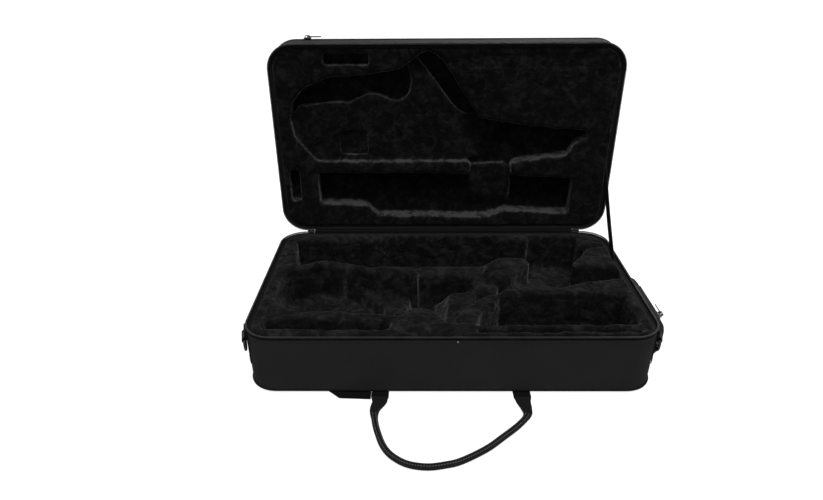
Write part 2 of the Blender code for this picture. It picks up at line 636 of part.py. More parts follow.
def handle_mesh(root_t):
    """The handle's loop: its roots start flat below the axis and gather into a round tube.

    Local +X runs across, -Y away from the root, and the axis is local X.
    """
    points = [(x_share * WEB_X, -HANDLE_START - y_share * HANDLE_REACH)
              for x_share, y_share in HANDLE_SHARES]
    path = smooth_path(points, 2)
    root_lift = -HANDLE_PLAY - root_t / 2
    tube_lift = -HANDLE_PLAY - root_t + HANDLE_TUBE_R
    turns = [math.tau * (index + 0.5) / HANDLE_TUBE_SIDES for index in range(HANDLE_TUBE_SIDES)]
    travelled = [0]
    for one, two in zip(path, path[1:]):
        travelled.append(travelled[-1] + (two - one).length)

    def section(index):
        to_end = min(travelled[index], travelled[-1] - travelled[index])
        t = min(to_end / HANDLE_FLARE, 1)
        gathered = t * t * (3 - 2 * t)
        half_w = WEB_W / 2 + (HANDLE_TUBE_R - WEB_W / 2) * gathered
        half_h = root_t / 2 + (HANDLE_TUBE_R - root_t / 2) * gathered
        lift = root_lift + (tube_lift - root_lift) * gathered
        return [(half_w * math.cos(turn), lift + half_h * math.sin(turn)) for turn in turns]

    return planar_sweep(path, section)


def build_handles(make):
    """A carry handle at the base's front edge and its twin on the lid."""
    front = -HALF_D - WEB_FRONT_REACH - GAP
    pivot = empty("base_handle_axis", Matrix.Translation((0, front, WEB_TOP + HANDLE_PLAY)))
    add("base_handle", handle_mesh(WEB_T), make["webbing"], pivot)

    patch_top = POCKET_FACE + GAP + LID_PATCH_T
    patch_front = -HALF_D + LID_PATCH_EDGE
    for side, word in ((-1, "left"), (1, "right")):
        strip = webbing_strip(side, patch_front, patch_front + LID_PATCH_L, POCKET_FACE + GAP,
                              patch_top)
        add(f"lid_handle_patch_{word}", strip, make["webbing"], make["lid"], True)
    place = Vector((0, patch_front + LID_PATCH_L + GAP - HINGE_Y, patch_top + HANDLE_PLAY - BASE_H))
    turned = Matrix.Translation(place) @ Matrix.Rotation(math.pi, 4, 'Z')
    pivot = empty("lid_handle_axis", turned, make["lid"])
    add("lid_handle", handle_mesh(LID_PATCH_T), make["webbing"], pivot)


def ring_frame(side):
    """Where a ring's webbing is centred: local X along the wall, Y out of it, Z up."""
    angle = RING_TAB_W / 2 / CORNER_R
    out = Vector((side * math.cos(angle), -math.sin(angle), 0))
    centre = Vector((side * (HALF_W - CORNER_R), -(HALF_D - CORNER_R), 0))
    along = out.cross(Vector((0, 0, 1)))
    return frame_matrix(centre + CORNER_R * out, along, out)


def ring_patch(side):
    """Webbing sewn flat round the start of a front corner."""
    sweep = RING_TAB_W / CORNER_R
    steps = CORNER_STEPS

    def plan(inset):
        centre = Vector((side * (HALF_W - CORNER_R), -(HALF_D - CORNER_R)))
        turns = [sweep * index / steps for index in range(steps + 1)]
        return [centre + (CORNER_R - inset) * Vector((side * math.cos(turn), -math.sin(turn)))
                for turn in turns]

    section = box_section(-GAP, -GAP - RING_TAB_T, RING_TAB_TOP - RING_PATCH_L, RING_TAB_TOP)
    return plan_sweep(plan, section, closed=False)


def ring_fold(bar_out, bar_height):
    """Webbing folded round the ring's bar, in the plane of (out, up) points."""
    wrap = RING_WIRE_R + RING_BORE_PLAY + RING_TAB_T / 2
    top = bar_height + RING_FOLD_H
    path = [Vector((bar_out - wrap, top))]
    for index in range(9):
        angle = math.pi + math.pi * index / 8
        path.append(Vector((bar_out + wrap * math.cos(angle),
                            bar_height + wrap * math.sin(angle))))
    path.append(Vector((bar_out - wrap + 2 * RING_TAB_T, bar_height + RING_FOLD_H / 2)))
    path.append(Vector((bar_out - wrap + RING_TAB_T + GAP, top)))
    half_t, half_w = RING_TAB_T / 2, RING_TAB_W / 2
    return planar_sweep(path, lambda _: [(-half_t, -half_w), (half_t, -half_w), (half_t, half_w),
                                         (-half_t, half_w)])


def build_rings(make):
    """Shoulder-strap rings that swing in folds of webbing on both side walls."""
    bar_height = RING_TAB_TOP - RING_FOLD_H
    bar_out = GAP + RING_TAB_T + RING_TAB_T / 2 + RING_BORE_PLAY + RING_WIRE_R
    half = RING_TAB_W / 2 + RING_SIDE_PLAY + RING_WIRE_R
    outline = [(-half, 0), (-half, -RING_DROP / 3)]
    bow = RING_DROP - RING_DROP / 3
    for index in range(1, 8):
        angle = math.pi + math.pi * index / 8
        outline.append((half * math.cos(angle), -RING_DROP / 3 + bow * math.sin(angle)))
    outline += [(half, -RING_DROP / 3), (half, 0)]
    turns = [math.tau * index / 6 for index in range(6)]
    wire = [(RING_WIRE_R * math.cos(turn), RING_WIRE_R * math.sin(turn)) for turn in turns]
    for side, word in ((-1, "left"), (1, "right")):
        place = ring_frame(side)
        fold = ring_fold(bar_out, bar_height)
        upright = Matrix(((0, 0, 1, 0), (1, 0, 0, 0), (0, 1, 0, 0), (0, 0, 0, 1)))
        bmesh.ops.transform(fold, matrix=place @ upright, verts=fold.verts)
        fold = add(f"ring_fold_{word}", fold, make["webbing"])
        hide_cutter(fold)
        boolean(add(f"ring_tab_{word}", ring_patch(side), make["webbing"]), fold, 'UNION')
        pivot = empty(f"ring_axis_{word}", place @ Matrix.Translation((0, bar_out, bar_height)))
        ring = planar_sweep(outline, lambda _: wire, closed=True)
        standing = Matrix.Rotation(math.radians(90), 4, 'X')
        bmesh.ops.transform(ring, matrix=standing, verts=ring.verts)
        add(f"d_ring_{word}", ring, make["metal"], pivot)


def arch_mesh(foot):
    """The slider's bridge: local X along the zip, Y out, Z across."""
    half, wall = ARCH_L / 2, ARCH_WALL
    low, high = foot - GAP, foot + ARCH_H
    outline = [(-half, low), (-half, high - wall), (-half + wall, high), (half - wall, high),
               (half, high - wall), (half, low), (half - wall, low), (half - wall, high - wall),
               (wall - half, high - wall), (wall - half, low)]
    return prism(outline, -ARCH_W / 2, ARCH_W / 2)


def slider(name, plate, foot, surface, parent):
    """A zip slider: its plate and a bridge joined on top."""
    made = add(name, plate, surface, parent)
    bridge = add(name + "_bridge", arch_mesh(foot), surface, parent)
    hide_cutter(bridge)
    boolean(made, bridge, 'UNION')
    return made


def flat_plate():
    """Plate of a pocket zip's slider, rounded in plan."""
    half_l, half_w = SLIDER_L / 2, SLIDER_W / 2
    outline = [(-half_l, -half_w / 2), (-half_l / 2, -half_w), (half_l / 2, -half_w),
               (half_l, -half_w / 2), (half_l, half_w / 2), (half_l / 2, half_w),
               (-half_l / 2, half_w), (-half_l, half_w / 2)]
    bm = prism(outline, 0, -SLIDER_T)
    bmesh.ops.rotate(bm, verts=bm.verts, matrix=Matrix.Rotation(math.radians(90), 3, 'X'))
    return bm


def keel_plate():
    """Plate of a main zip's slider, with the keel that parts the two coils."""
    section = [(0, 0), (KEEL_HALF_W, KEEL_HALF_W), (KEEL_HALF_W, KEEL_TOP),
               (-KEEL_HALF_W, KEEL_TOP), (-KEEL_HALF_W, KEEL_HALF_W)]
    bm = bmesh.new()
    loft(bm, [[(side * SLIDER_L / 2, out, across) for across, out in section]
              for side in (-1, 1)])
    return bm


def pull_mesh():
    """A pull: its bar lies on the local Z axis under the bridge and its tab runs along +X."""
    bar, half_w, half_tip = PULL_BAR / 2, PULL_W / 2, PULL_TIP_W / 2
    arm = half_w - PULL_ARM
    hole_end = bar + PULL_HOLE_L
    outer = [(-bar, -half_w), (hole_end, -half_w), (PULL_L, -half_tip), (PULL_L, half_tip),
             (hole_end, half_w), (-bar, half_w)]
    hole = [(bar, -arm), (hole_end - bar, -arm), (hole_end, -arm + bar), (hole_end, arm - bar),
            (hole_end - bar, arm), (bar, arm)]
    bm = bmesh.new()
    rings = [[(x, -PULL_T / 2, z) for x, z in outer], [(x, PULL_T / 2, z) for x, z in outer],
             [(x, PULL_T / 2, z) for x, z in hole], [(x, -PULL_T / 2, z) for x, z in hole]]
    loft(bm, rings, closed=True)
    return bm


def build_pocket(make):
    """The lid's flat outer pocket with its zip, slider and pull."""
    lid = make["lid"]
    low = LID_FACE + GAP
    panel = prism(whole_plan(POCKET_INSET), low, POCKET_FACE, edge=COVER_EDGE)
    add("lid_pocket_panel", panel, make["nylon"], lid, True)
    zip_low = low + POCKET_ZIP_LOW
    inner = POCKET_INSET - GAP
    section = box_section(inner, inner - POCKET_ZIP_T, zip_low, zip_low + POCKET_ZIP_W)
    add("lid_pocket_zip", plan_sweep(pocket_zip_plan, section, closed=False), make["coil"],
        lid, True)
    seat = -HALF_D + inner - POCKET_ZIP_T - GAP
    place = Vector((-POCKET_SLIDER_X, seat - HINGE_Y, zip_low + POCKET_ZIP_W / 2 - BASE_H))
    track = empty("pocket_slider_track", frame_matrix(place, (1, 0, 0), (0, -1, 0)), lid)
    slider("pocket_slider", flat_plate(), SLIDER_T, make["metal"], track)
    axis = empty("pocket_pull_axis", Matrix.Translation((0, SLIDER_T + BAR_HEIGHT, 0)), track)
    add("pocket_pull", pull_mesh(), make["metal"], axis)


def build_pouch(make):
    """The pouch on the right wall with its zip, slider and pull."""
    height = BASE_H - POUCH_TO_MOUTH - POUCH_LOW
    length = POUCH_LENGTH_SHARE * SIDE_RUN
    front = -SIDE_RUN / 2 + POUCH_TO_RING
    wall = HALF_W + GAP
    rings = []
    for y_share, full_share in POUCH_FULL_SHARES:
        rings.append([(wall + x_share * full_share * POUCH_BULGE, front + y_share * length,
                       POUCH_LOW + z_share * height) for x_share, z_share in POUCH_SECTION_SHARES])
    bm = bmesh.new()
    loft(bm, rings)
    add("side_pouch", bm, make["nylon"])

    low, high = (Vector((wall + x_share * POUCH_BULGE, POUCH_LOW + z_share * height))
                 for x_share, z_share in POUCH_SECTION_SHARES[4:6])
    up = (high - low).normalized()
    out = Vector((up.y, -up.x))
    middle = (low + high) / 2 + out * GAP
    corners = [middle + up * across * POUCH_ZIP_W / 2 + out * depth * POUCH_ZIP_T
               for across, depth in ((-1, 0), (1, 0), (1, 1), (-1, 1))]
    start = front + POUCH_ZIP_END_SHARE * length
    end = front + (1 - POUCH_ZIP_END_SHARE) * length
    bm = bmesh.new()
    loft(bm, [[(point.x, y, point.y) for point in corners] for y in (start, end)])
    add("side_pouch_zip", bm, make["coil"])

    seat = middle + out * (POUCH_ZIP_T + GAP)
    place = frame_matrix((seat.x, start + SLIDER_L / 2 + POUCH_SLIDER_MARGIN, seat.y),
                         (0, 1, 0), (out.x, 0, out.y))
    track = empty("pouch_slider_track", place)
    slider("pouch_slider", flat_plate(), SLIDER_T, make["metal"], track)
    axis = empty("pouch_pull_axis", Matrix.Translation((0, SLIDER_T + BAR_HEIGHT, 0)), track)
    add("pouch_pull", pull_mesh(), make["metal"], axis)


def build_main_sliders(make):
    """The main zip's two sliders, parked where the parted coils meet beside the hinge."""
    for side, word in ((-1, "left"), (1, "right")):
        place = (Matrix.Translation((side * MAIN_SLIDER_X, HINGE_Y, BASE_H))
                 @ Matrix.Rotation(-OPEN_ANGLE / 2, 4, 'X'))
        carrier = empty(f"main_slider_axis_{word}", place)
        slider(f"main_slider_{word}", keel_plate(), KEEL_TOP, make["metal"], carrier)
        hanging = (Matrix.Translation((0, KEEL_TOP + BAR_HEIGHT, 0))
                   @ Matrix.Rotation(math.radians(90), 4, 'Z'))
        axis = empty(f"main_pull_axis_{word}", hanging, carrier)
        add(f"main_pull_{word}", pull_mesh(), make["metal"], axis)


def build_rivet(make):
    """A small domed rivet under the middle of the front rim."""
    bm = bmesh.new()
    bmesh.ops.create_cone(bm, cap_ends=True, segments=RIVET_SIDES, radius1=RIVET_R,
                          radius2=RIVET_R / 2, depth=RIVET_H)
    place = Vector((RIVET_X, -HALF_D - GAP - RIVET_H / 2, BASE_H - RIVET_DROP))
    bmesh.ops.rotate(bm, verts=bm.verts, matrix=Matrix.Rotation(math.radians(90), 3, 'X'))
    bmesh.ops.translate(bm, verts=bm.verts, vec=place)
    add("front_rivet", bm, make["steel"])


def main():
    """Builds the whole case."""
    for old in list(bpy.data.objects):
        bpy.data.objects.remove(old, do_unlink=True)
    make = {
        "nylon": material("black_nylon", (0.013, 0.013, 0.013), 0.85),
        "plush": material("black_plush", (0.008, 0.008, 0.008), 0.95),
        "webbing": material("black_webbing", (0.012, 0.012, 0.012), 0.80),
        "coil": material("black_coil", (0.02, 0.02, 0.02), 0.45),
        "piping": material("grey_piping", (0.05, 0.05, 0.05), 0.60),
        "board": material("board", (0.30, 0.22, 0.14), 0.80),
        "metal": material("black_metal", (0.010, 0.010, 0.011), 0.25, 1.0),
        "steel": material("bright_steel", (0.60, 0.60, 0.62), 0.25, 1.0),
    }
    opened = (Matrix.Translation((0, HINGE_Y, BASE_H)) @ Matrix.Rotation(-OPEN_ANGLE, 4, 'X'))
    make["lid"] = empty("lid_hinge", opened)
    build_shell(make)
    build_zip(make)
    build_piping(make)
    build_base_liner(make)
    build_lid_liner(make)
    build_hinge_and_stay(make)
    build_webbing(make)
    build_handles(make)
    build_rings(make)
    build_pocket(make)
    build_pouch(make)
    build_main_sliders(make)
    build_rivet(make)
    bpy.context.view_layer.update()


main()
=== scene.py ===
import math

import bmesh
import bpy
from mathutils import Matrix, Vector, noise


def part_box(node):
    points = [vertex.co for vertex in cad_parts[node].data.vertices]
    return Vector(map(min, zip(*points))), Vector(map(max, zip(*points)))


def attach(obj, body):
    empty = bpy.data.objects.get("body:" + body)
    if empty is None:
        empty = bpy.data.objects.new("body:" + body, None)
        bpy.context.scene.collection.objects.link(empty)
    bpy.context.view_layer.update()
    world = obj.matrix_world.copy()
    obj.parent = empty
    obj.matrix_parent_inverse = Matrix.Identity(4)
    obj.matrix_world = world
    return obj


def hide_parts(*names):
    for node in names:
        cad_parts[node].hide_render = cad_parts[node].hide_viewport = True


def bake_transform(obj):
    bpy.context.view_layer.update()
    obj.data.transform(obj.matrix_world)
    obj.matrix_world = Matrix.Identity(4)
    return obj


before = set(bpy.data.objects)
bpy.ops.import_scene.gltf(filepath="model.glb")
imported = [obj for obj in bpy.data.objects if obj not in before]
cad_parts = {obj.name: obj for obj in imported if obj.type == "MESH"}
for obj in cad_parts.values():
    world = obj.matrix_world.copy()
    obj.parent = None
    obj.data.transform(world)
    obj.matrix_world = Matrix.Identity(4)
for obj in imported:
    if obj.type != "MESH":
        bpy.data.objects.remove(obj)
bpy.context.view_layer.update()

# Places taken from the frame, and the sizes that go with them
_, COVER_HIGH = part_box("base_cover")
LID_LOW, LID_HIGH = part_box("lid_cover")
HALF_W = COVER_HIGH.x
HALF_D = COVER_HIGH.y
CORNER_R = 0.048
COVER_TO_MOUTH = 0.006
MOUTH = COVER_HIGH.z + COVER_TO_MOUTH
HINGE_Y = LID_LOW.y - COVER_TO_MOUTH
LID_FACE = MOUTH + LID_HIGH.y - HINGE_Y
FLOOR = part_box("carry_webbing_left")[0].z
UP = Vector((0, 0, 1))
BACK = Vector((0, 1, 0))
SIDES = ((-1, "left"), (1, "right"))

# Both halves are made closed. Each one: what brings it to rest, its face's height, and the way
# from its face to its mouth
HERE = Matrix.Identity(4)
OPENED = (Matrix.Translation((0, HINGE_Y, MOUTH)) @ Matrix.Rotation(math.radians(-90), 4, 'X')
          @ Matrix.Translation((0, -HINGE_Y, -MOUTH)))
HALVES = {"base": (HERE, 0.0, 1), "lid": (OPENED, LID_FACE, -1)}

# Surroundings
ROOM_GREY = 0.12
PAPER_GLOW = 0.80

# Camera, found from the photograph's perspective
PHOTO_W = 823
FOCAL_PX = 600.96
SENSOR = 36.0
EYE = Vector((-0.0549, -0.966, 0.6721))
PITCH = math.radians(27.72)
YAW = 0.0112
ROLL = -0.0068

# Sewing, and the spacing of pieces that run round the plan
SKIN = 0.0016
STITCH_L = 0.0027
STITCH_PITCH = 0.0042
THREAD_R = 0.00028
SEAM_THREAD_R = 0.0004
HEM_DROP = 0.0042
PLAN_STEP = 0.0055

# Cover: its rounded edge as (inset, rise) in mm, and the shares of the rings that close its face
EDGE_RISE = 0.0042
COVER_EDGE = ((0.1, 3.1), (0.4, 2.1), (1.0, 1.2), (2.0, 0.5), (3.4, 0.1), (5.5, 0.0), (12, 0.0))
COVER_SHARES = (0.88, 0.72, 0.55, 0.38, 0.2)
WALL_ROW = 0.006
TAUT = 0.004
SLACKS = ((9, 0.0005), (30, 0.00018))
RIM_CORD_R = 0.0010
RIM_CORD_UP = 0.0008
PIPING_R = 0.0018
PIPING_UP = 0.0022

# Main zip
ZIP_STEP = 0.005
ZIP_END_X = 0.2752
TAPE_DROPS = (0.0062, 0.0031)
COIL_DROP = 0.00155
# A dark band of zip tape round the inside of the rim, laid in the groove between the coil and the
# plush as painted shade.
INNER_TAPE_SHADE = [(-0.0018, -0.0048), (-0.0050, -0.0078), (-0.0090, -0.0088),
              (-0.0090, -0.0096), (-0.0048, -0.0088), (-0.0018, -0.0060)]

# Fine zips of the pocket and the pouch
FINE_PITCH = 0.0016
FINE_OUT = 0.0005

# Outer pocket of the lid
POCKET_LOW = LID_FACE + 0.0003
POCKET_HIGH = LID_FACE + 0.0100
POCKET_SHARES = (0.96, 0.88, 0.76, 0.62, 0.46, 0.3, 0.14)
POCKET_SEAM_IN = 0.0085
POCKET_ZIP_UP = 0.0024
POCKET_ZIP_RUN = 0.060

# Rings and their tabs
RING_WIRE = 0.0024
RING_DROP = 0.023
RING_BAR_OUT = 0.0050
RING_BAR_Z = 0.0855
TAB_HALF_W = 0.0125
TAB_T = 0.0012
TAB_TOP = MOUTH - 0.0065
TAB_PATCH_H = 0.0655

# Carry handles: shares of half the root spacing and of the reach
HANDLE_HALF = 0.117
HANDLE_REACH = 0.150
HANDLE_START = 0.0006
HANDLE_PLAY = 0.0003
GATHER_RUN = 0.050
NARROW_RUN = 0.056
TUBE_R = 0.0053
WEB_HALF = 0.0145
HANDLE_SHARES = [(-1.0, 0), (-1.0, 0.03), (-1.0, 0.08), (-1.055, 0.23), (-1.035, 0.41),
                 (-0.98, 0.58), (-0.905, 0.74), (-0.79, 0.865), (-0.60, 0.965), (-0.36, 1.0),
                 (-0.13, 0.975), (0.07, 0.925), (0.39, 0.775), (0.63, 0.615), (0.86, 0.45),
                 (1.0, 0.31), (1.015, 0.20), (1.0, 0.08), (1.0, 0.03), (1.0, 0)]

# Side pouch: its section as shares of bulge and height
POUCH_SECTION = [(0, 0), (0.30, -0.005), (0.62, 0.01), (0.92, 0.12), (1.0, 0.28), (1.0, 0.42),
                 (0.985, 0.58), (0.93, 0.70), (0.80, 0.79), (0.60, 0.915), (0.44, 0.985),
                 (0.30, 1.0), (0.12, 1.0), (0, 1.0)]
POUCH_SEAMS = ((9, -0.6), (27, 0.2))

# Hinge strip and stay strap
HINGE_HALF_W = 0.2750
HINGE_T = 0.0013
HINGE_SEAM_IN = 0.004
STAY_BACK = 0.114
STAY_RISE = 0.128
STAY_HALF = 0.010
STAY_SWAY = 0.0012

# Plush linings
VOXEL = 0.0028
SWELL = 0.0006
PILE_LIFT = 0.0004
STEP_TOP = 0.062
BELL_FLOOR = MOUTH + 0.0206
LEVEL = 0.8
PRESS_MARGIN = 0.003
CRUSHES = ((26, 0, 0.0017), (62, 3, 0.0013))
CREASES = ((40, 7, 1.0), (95, 9, 0.5))
CREASE_SPAN = 0.22
CREASE_DEPTH = 0.0016
WALL_ROOM = 0.0026
MOUTH_ROOM = 0.0016
GROOVE_FROM = 0.0115
GROOVE_RUN = 0.0035
GROOVE_DROP = 0.0085

# Soft forms between the blocks: corners of convex fillings, in mm
APRON = [(100, -30, 22), (235, -30, 22), (205, 135, 22), (150, 90, 22), (100, -30, 92),
         (235, -30, 58), (200, 130, 27), (150, 80, 56)]
GAP_FILL = [(-78, 72, 22), (-40, 74, 22), (-60, 14, 22), (-40, 30, 22), (-78, 60, 92),
            (-40, 70, 89), (-66, 28, 84), (-40, 36, 86)]
NEAR_LOBE = [(-142, 60, 22), (-54, 56, 22), (-128, 16, 22), (-72, 14, 22), (-122, 22, 60),
             (-78, 20, 60), (-138, 60, 99), (-58, 56, 98), (-120, 36, 94), (-80, 34, 93)]
FAR_LOBE = [(-208, 70, 22), (-152, 62, 22), (-194, 36, 22), (-166, 32, 22), (-190, 40, 66),
            (-170, 37, 66), (-206, 70, 99), (-154, 62, 99), (-188, 50, 92), (-172, 47, 92)]
KEY_SLOPE = [(58, 66, 22), (110, 86, 22), (58, 20, 22), (98, 6, 22), (58, 64, 89),
             (112, 84, 102), (60, 28, 84), (100, 8, 101)]
CENTRE_SLOPE = [(-26, 24, 22), (-30, -84, 22), (2, -112, 22), (12, 24, 59), (-2, -84, 59),
                (8, -106, 59), (30, 24, 22), (30, -84, 22)]
BELL_SLOPE = [(24, -56, 130.5), (24, 38, 130.5), (24, -56, 150), (24, 38, 150), (95, -46, 148),
              (95, 38, 148)]
NECK_PAD = [(-10, 56, 148), (-10, 134, 148), (62, 54, 136), (62, 120, 136), (120, 50, 135),
            (132, 60, 135), (137, 90, 135), (137, 115, 135), (130, 122, 135), (62, 50, 150),
            (125, 46, 150), (140, 90, 150), (138, 150, 150), (62, 150, 150)]

# Rounded rectangles pressed into the lid: centre, reach each way, corner, depth, slope
SQUARE = ((-0.1833, 0.0031), (0.0285, 0.0255), 0.009, 0.0045, 0.0030)
LONG_PRESS = ((0.175, -0.158), (0.137, 0.0125), 0.006, 0.0014, 0.006)


def add_node(tree, kind, inputs, **settings):
    """A shader node: its settings first, then the value or the link of each input."""
    node = tree.nodes.new(kind)
    for name, value in settings.items():
        setattr(node, name, value)
    for key, value in inputs.items():
        if isinstance(value, Wire):
            tree.links.new(value.socket, node.inputs[key])
        else:
            node.inputs[key].default_value = value
    return node


class Wire:
    """A node's output that can be added, multiplied and compared like a number."""

    def __init__(self, tree, socket):
        self.tree = tree
        self.socket = socket

    def math(self, operation, *others):
        inputs = dict(enumerate((self, *others)))
        node = add_node(self.tree, "ShaderNodeMath", inputs, operation=operation)
        return Wire(self.tree, node.outputs[0])

    def __add__(self, other):
        return self.math('ADD', other)

    def __sub__(self, other):
        return self.math('SUBTRACT', other)

    def __mul__(self, other):
        return self.math('MULTIPLY', other)

    def __abs__(self):
        return self.math('ABSOLUTE')

    def __gt__(self, other):
        return self.math('GREATER_THAN', other)

    def sine(self, period):
        return (self * (math.tau / period)).math('SINE')

    def spread(self, low, high, new_low, new_high):
        """A range of the wire eased over to a new range."""
        node = add_node(self.tree, "ShaderNodeMapRange",
                        {"Value": self, "From Min": low, "From Max": high, "To Min": new_low,
                         "To Max": new_high}, interpolation_type='SMOOTHSTEP')
        return Wire(self.tree, node.outputs["Result"])


class Surface:
    """A Principled material built from procedural wires."""

    def __init__(self, name, roughness=0.8, metallic=0.0, **settings):
        self.material = bpy.data.materials.new(name)
        self.material.use_nodes = True
        self.tree = self.material.node_tree
        self.shader = self.tree.nodes["Principled BSDF"]
        for key, value in {"Roughness": roughness, "Metallic": metallic, **settings}.items():
            self.shader.inputs[key.replace("_", " ")].default_value = value
        self.place = add_node(self.tree, "ShaderNodeTexCoord", {})

    def at(self, kind):
        """The place on the surface by Object, Normal or UV."""
        return Wire(self.tree, self.place.outputs[kind])

    def axes(self, kind):
        """The three coordinates of a place."""
        parts = add_node(self.tree, "ShaderNodeSeparateXYZ", {0: self.at(kind)})
        return [Wire(self.tree, output) for output in parts.outputs]

    def noise(self, scale, detail=4, roughness=0.55, distortion=0.0, stretch=(1, 1, 1)):
        """Cloudy variation from 0 to 1."""
        mapping = add_node(self.tree, "ShaderNodeMapping",
                           {"Vector": self.at("Object"), "Scale": stretch})
        cloud = add_node(self.tree, "ShaderNodeTexNoise",
                         {"Vector": Wire(self.tree, mapping.outputs[0]), "Scale": scale,
                          "Detail": detail, "Roughness": roughness, "Distortion": distortion})
        return Wire(self.tree, cloud.outputs["Fac"])

    def cells(self, scale):
        """Distance to the nearest of scattered points."""
        points = add_node(self.tree, "ShaderNodeTexVoronoi",
                          {"Vector": self.at("Object"), "Scale": scale})
        return Wire(self.tree, points.outputs["Distance"])

    def feed(self, name, wire):
        """Links a wire to one of the shader's inputs."""
        self.tree.links.new(wire.socket, self.shader.inputs[name])

    def colour(self, factor, *stops):
        """Base colour from a ramp of (position, grey or rgb)."""
        ramp = add_node(self.tree, "ShaderNodeValToRGB", {0: factor})
        elements = ramp.color_ramp.elements
        while len(elements) < len(stops):
            elements.new(0.5)
        for element, (position, value) in zip(elements, stops):
            element.position = position
            element.color = (*(value if isinstance(value, tuple) else (value,) * 3), 1.0)
        self.feed("Base Color", Wire(self.tree, ramp.outputs[0]))

    def bump(self, *layers):
        """Stacks (height wire, strength, distance in metres)."""
        below = {}
        for height, strength, distance in layers:
            step = add_node(self.tree, "ShaderNodeBump",
                            {"Height": height, "Strength": strength, "Distance": distance, **below})
            below = {"Normal": Wire(self.tree, step.outputs[0])}
        self.feed("Normal", below["Normal"])


def woven(name, pitch, low, high, roughness, depth):
    """Plain-woven nylon, its threads laid along whichever plane the surface lies in."""
    made = Surface(name, roughness, Specular_IOR_Level=0.015)
    x, y, z = made.axes("Object")
    normal_x, _, normal_z = made.axes("Normal")
    side = abs(normal_x) > 0.7
    level = abs(normal_z) > 0.7
    across = x + (y - x) * side
    along = z + (y - z) * level
    threads = across.sine(pitch) * along.sine(pitch)
    slubs = made.noise(1500, 2, stretch=(1, 1, 0.25))
    cloud = made.noise(14, 3)
    fine = made.noise(900, 2)
    made.colour(threads * 0.18 + cloud * 0.5 + fine * 0.3, (0.15, low), (0.75, high))
    made.feed("Roughness", fine.spread(0.2, 0.8, roughness - 0.08, roughness + 0.08))
    made.bump((threads, 0.5, depth), (slubs, 0.25, depth), (cloud, 0.1, 0.001))
    return made.material


def plush(name, shades, sheen, painted_ledge_highlight):
    """Crushed short pile: dark in the nap's shade, paler where it is brushed over.

    The last argument is a painted highlight: how much paler the colour is made where the surface
    faces up at rest, as if lit from above.
    """
    made = Surface(name, 0.92, Specular_IOR_Level=0.02, Sheen_Weight=sheen,
                   Sheen_Roughness=0.36, Sheen_Tint=(0.5, 0.5, 0.5, 1))
    crushed = made.noise(62, 5, 0.62, 0.8)
    brushed = made.noise(24, 4, 0.55, 0.6, stretch=(1, 1, 1.7))
    nap = made.noise(520, 3, 0.6)
    tufts = made.cells(900)
    folds = made.noise(105, 4, 0.58, 1.2, stretch=(0.75, 1, 1))
    shade = crushed.spread(0.38, 0.64, 0, 0.5) + brushed.spread(0.40, 0.62, 0, 0.22)
    if painted_ledge_highlight:
        # Painted highlight: paler colour where the surface faces up at rest, where the overhead
        # light falls.
        ledge_highlight = made.axes("Normal")[2].spread(0.55, 1.0, 0, painted_ledge_highlight)
        shade = shade + ledge_highlight
    made.colour(shade + nap * 0.25, *zip((0.08, 0.5, 0.95, 1.0), shades))
    made.feed("Roughness", crushed.spread(0.3, 0.7, 0.98, 0.8))
    made.bump((folds, 0.75, 0.0034), (nap, 0.6, 0.0009), (tufts, 0.35, 0.0004))
    return made.material


def webbing(name, low, high):
    """Flat webbing: close ribs across it and two woven lines along it."""
    made = Surface(name, 0.65, Specular_IOR_Level=0.08)
    along, across, _ = made.axes("UV")
    ribs = along.sine(0.0016)
    chevron = (along + abs(across.sine(0.006)) * 0.0012).sine(0.0011)
    fine = made.noise(1100, 2)
    made.colour(ribs * 0.12 + chevron * 0.10 + fine * 0.6, (0.1, low), (0.8, high))
    made.bump((ribs, 0.45, 0.0003), (chevron, 0.35, 0.0002), (fine, 0.3, 0.0002))
    return made.material


def moulded(name, low, high, roughness, **settings):
    """Smooth plastic or cord with faint mottling and fine scratches."""
    made = Surface(name, roughness, **settings)
    mottle = made.noise(60, 3)
    scratches = made.noise(500, 2, stretch=(1, 6, 6))
    made.colour(mottle, (0.3, low), (0.7, high))
    made.feed("Roughness", scratches.spread(0.3, 0.7, roughness - 0.05, roughness + 0.07))
    made.bump((scratches, 0.12, 0.0001), (mottle, 0.1, 0.0003))
    return made.material


def lacquered():
    """Glossy black die-cast metal, rubbed a little in scattered patches."""
    made = Surface("black_lacquer", 0.22, Coat_Weight=0.15, Coat_Roughness=0.12,
                   Specular_IOR_Level=0.15)
    wear = made.noise(140, 4, 0.6)
    made.colour(wear, (0.35, 0.002), (0.62, 0.004), (0.78, 0.014))
    made.feed("Roughness", wear.spread(0.3, 0.7, 0.18, 0.36))
    made.bump((wear, 0.15, 0.0002))
    return made.material


def fibreboard():
    """Stiff board inside the covers."""
    made = Surface("fibreboard", 0.85)
    fibres = made.noise(260, 5, 0.6, 0.8, stretch=(1, 4, 1))
    made.colour(fibres, (0.3, (0.16, 0.11, 0.07)), (0.7, (0.33, 0.25, 0.16)))
    made.bump((fibres, 0.3, 0.0004))
    return made.material


def placed(name, data):
    """A new object in the scene."""
    made = bpy.data.objects.new(name, data)
    bpy.context.scene.collection.objects.link(made)
    return made


def finish_mesh(name, bm, finish, body, matrix=HERE, sharp=40, replaces=()):
    """Turns a bmesh into a named piece that rides on a body, or is left without one."""
    bmesh.ops.transform(bm, matrix=matrix, verts=bm.verts)
    bmesh.ops.recalc_face_normals(bm, faces=bm.faces)
    mesh = bpy.data.meshes.new(name)
    bm.to_mesh(mesh)
    bm.free()
    material, slot = LOOK[finish]
    mesh.materials.append(material)
    mesh.shade_smooth()
    mesh.set_sharp_from_angle(angle=math.radians(sharp))
    made = placed(name, mesh)
    if body:
        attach(made, body)
    if replaces:
        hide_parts(*replaces)
    return made


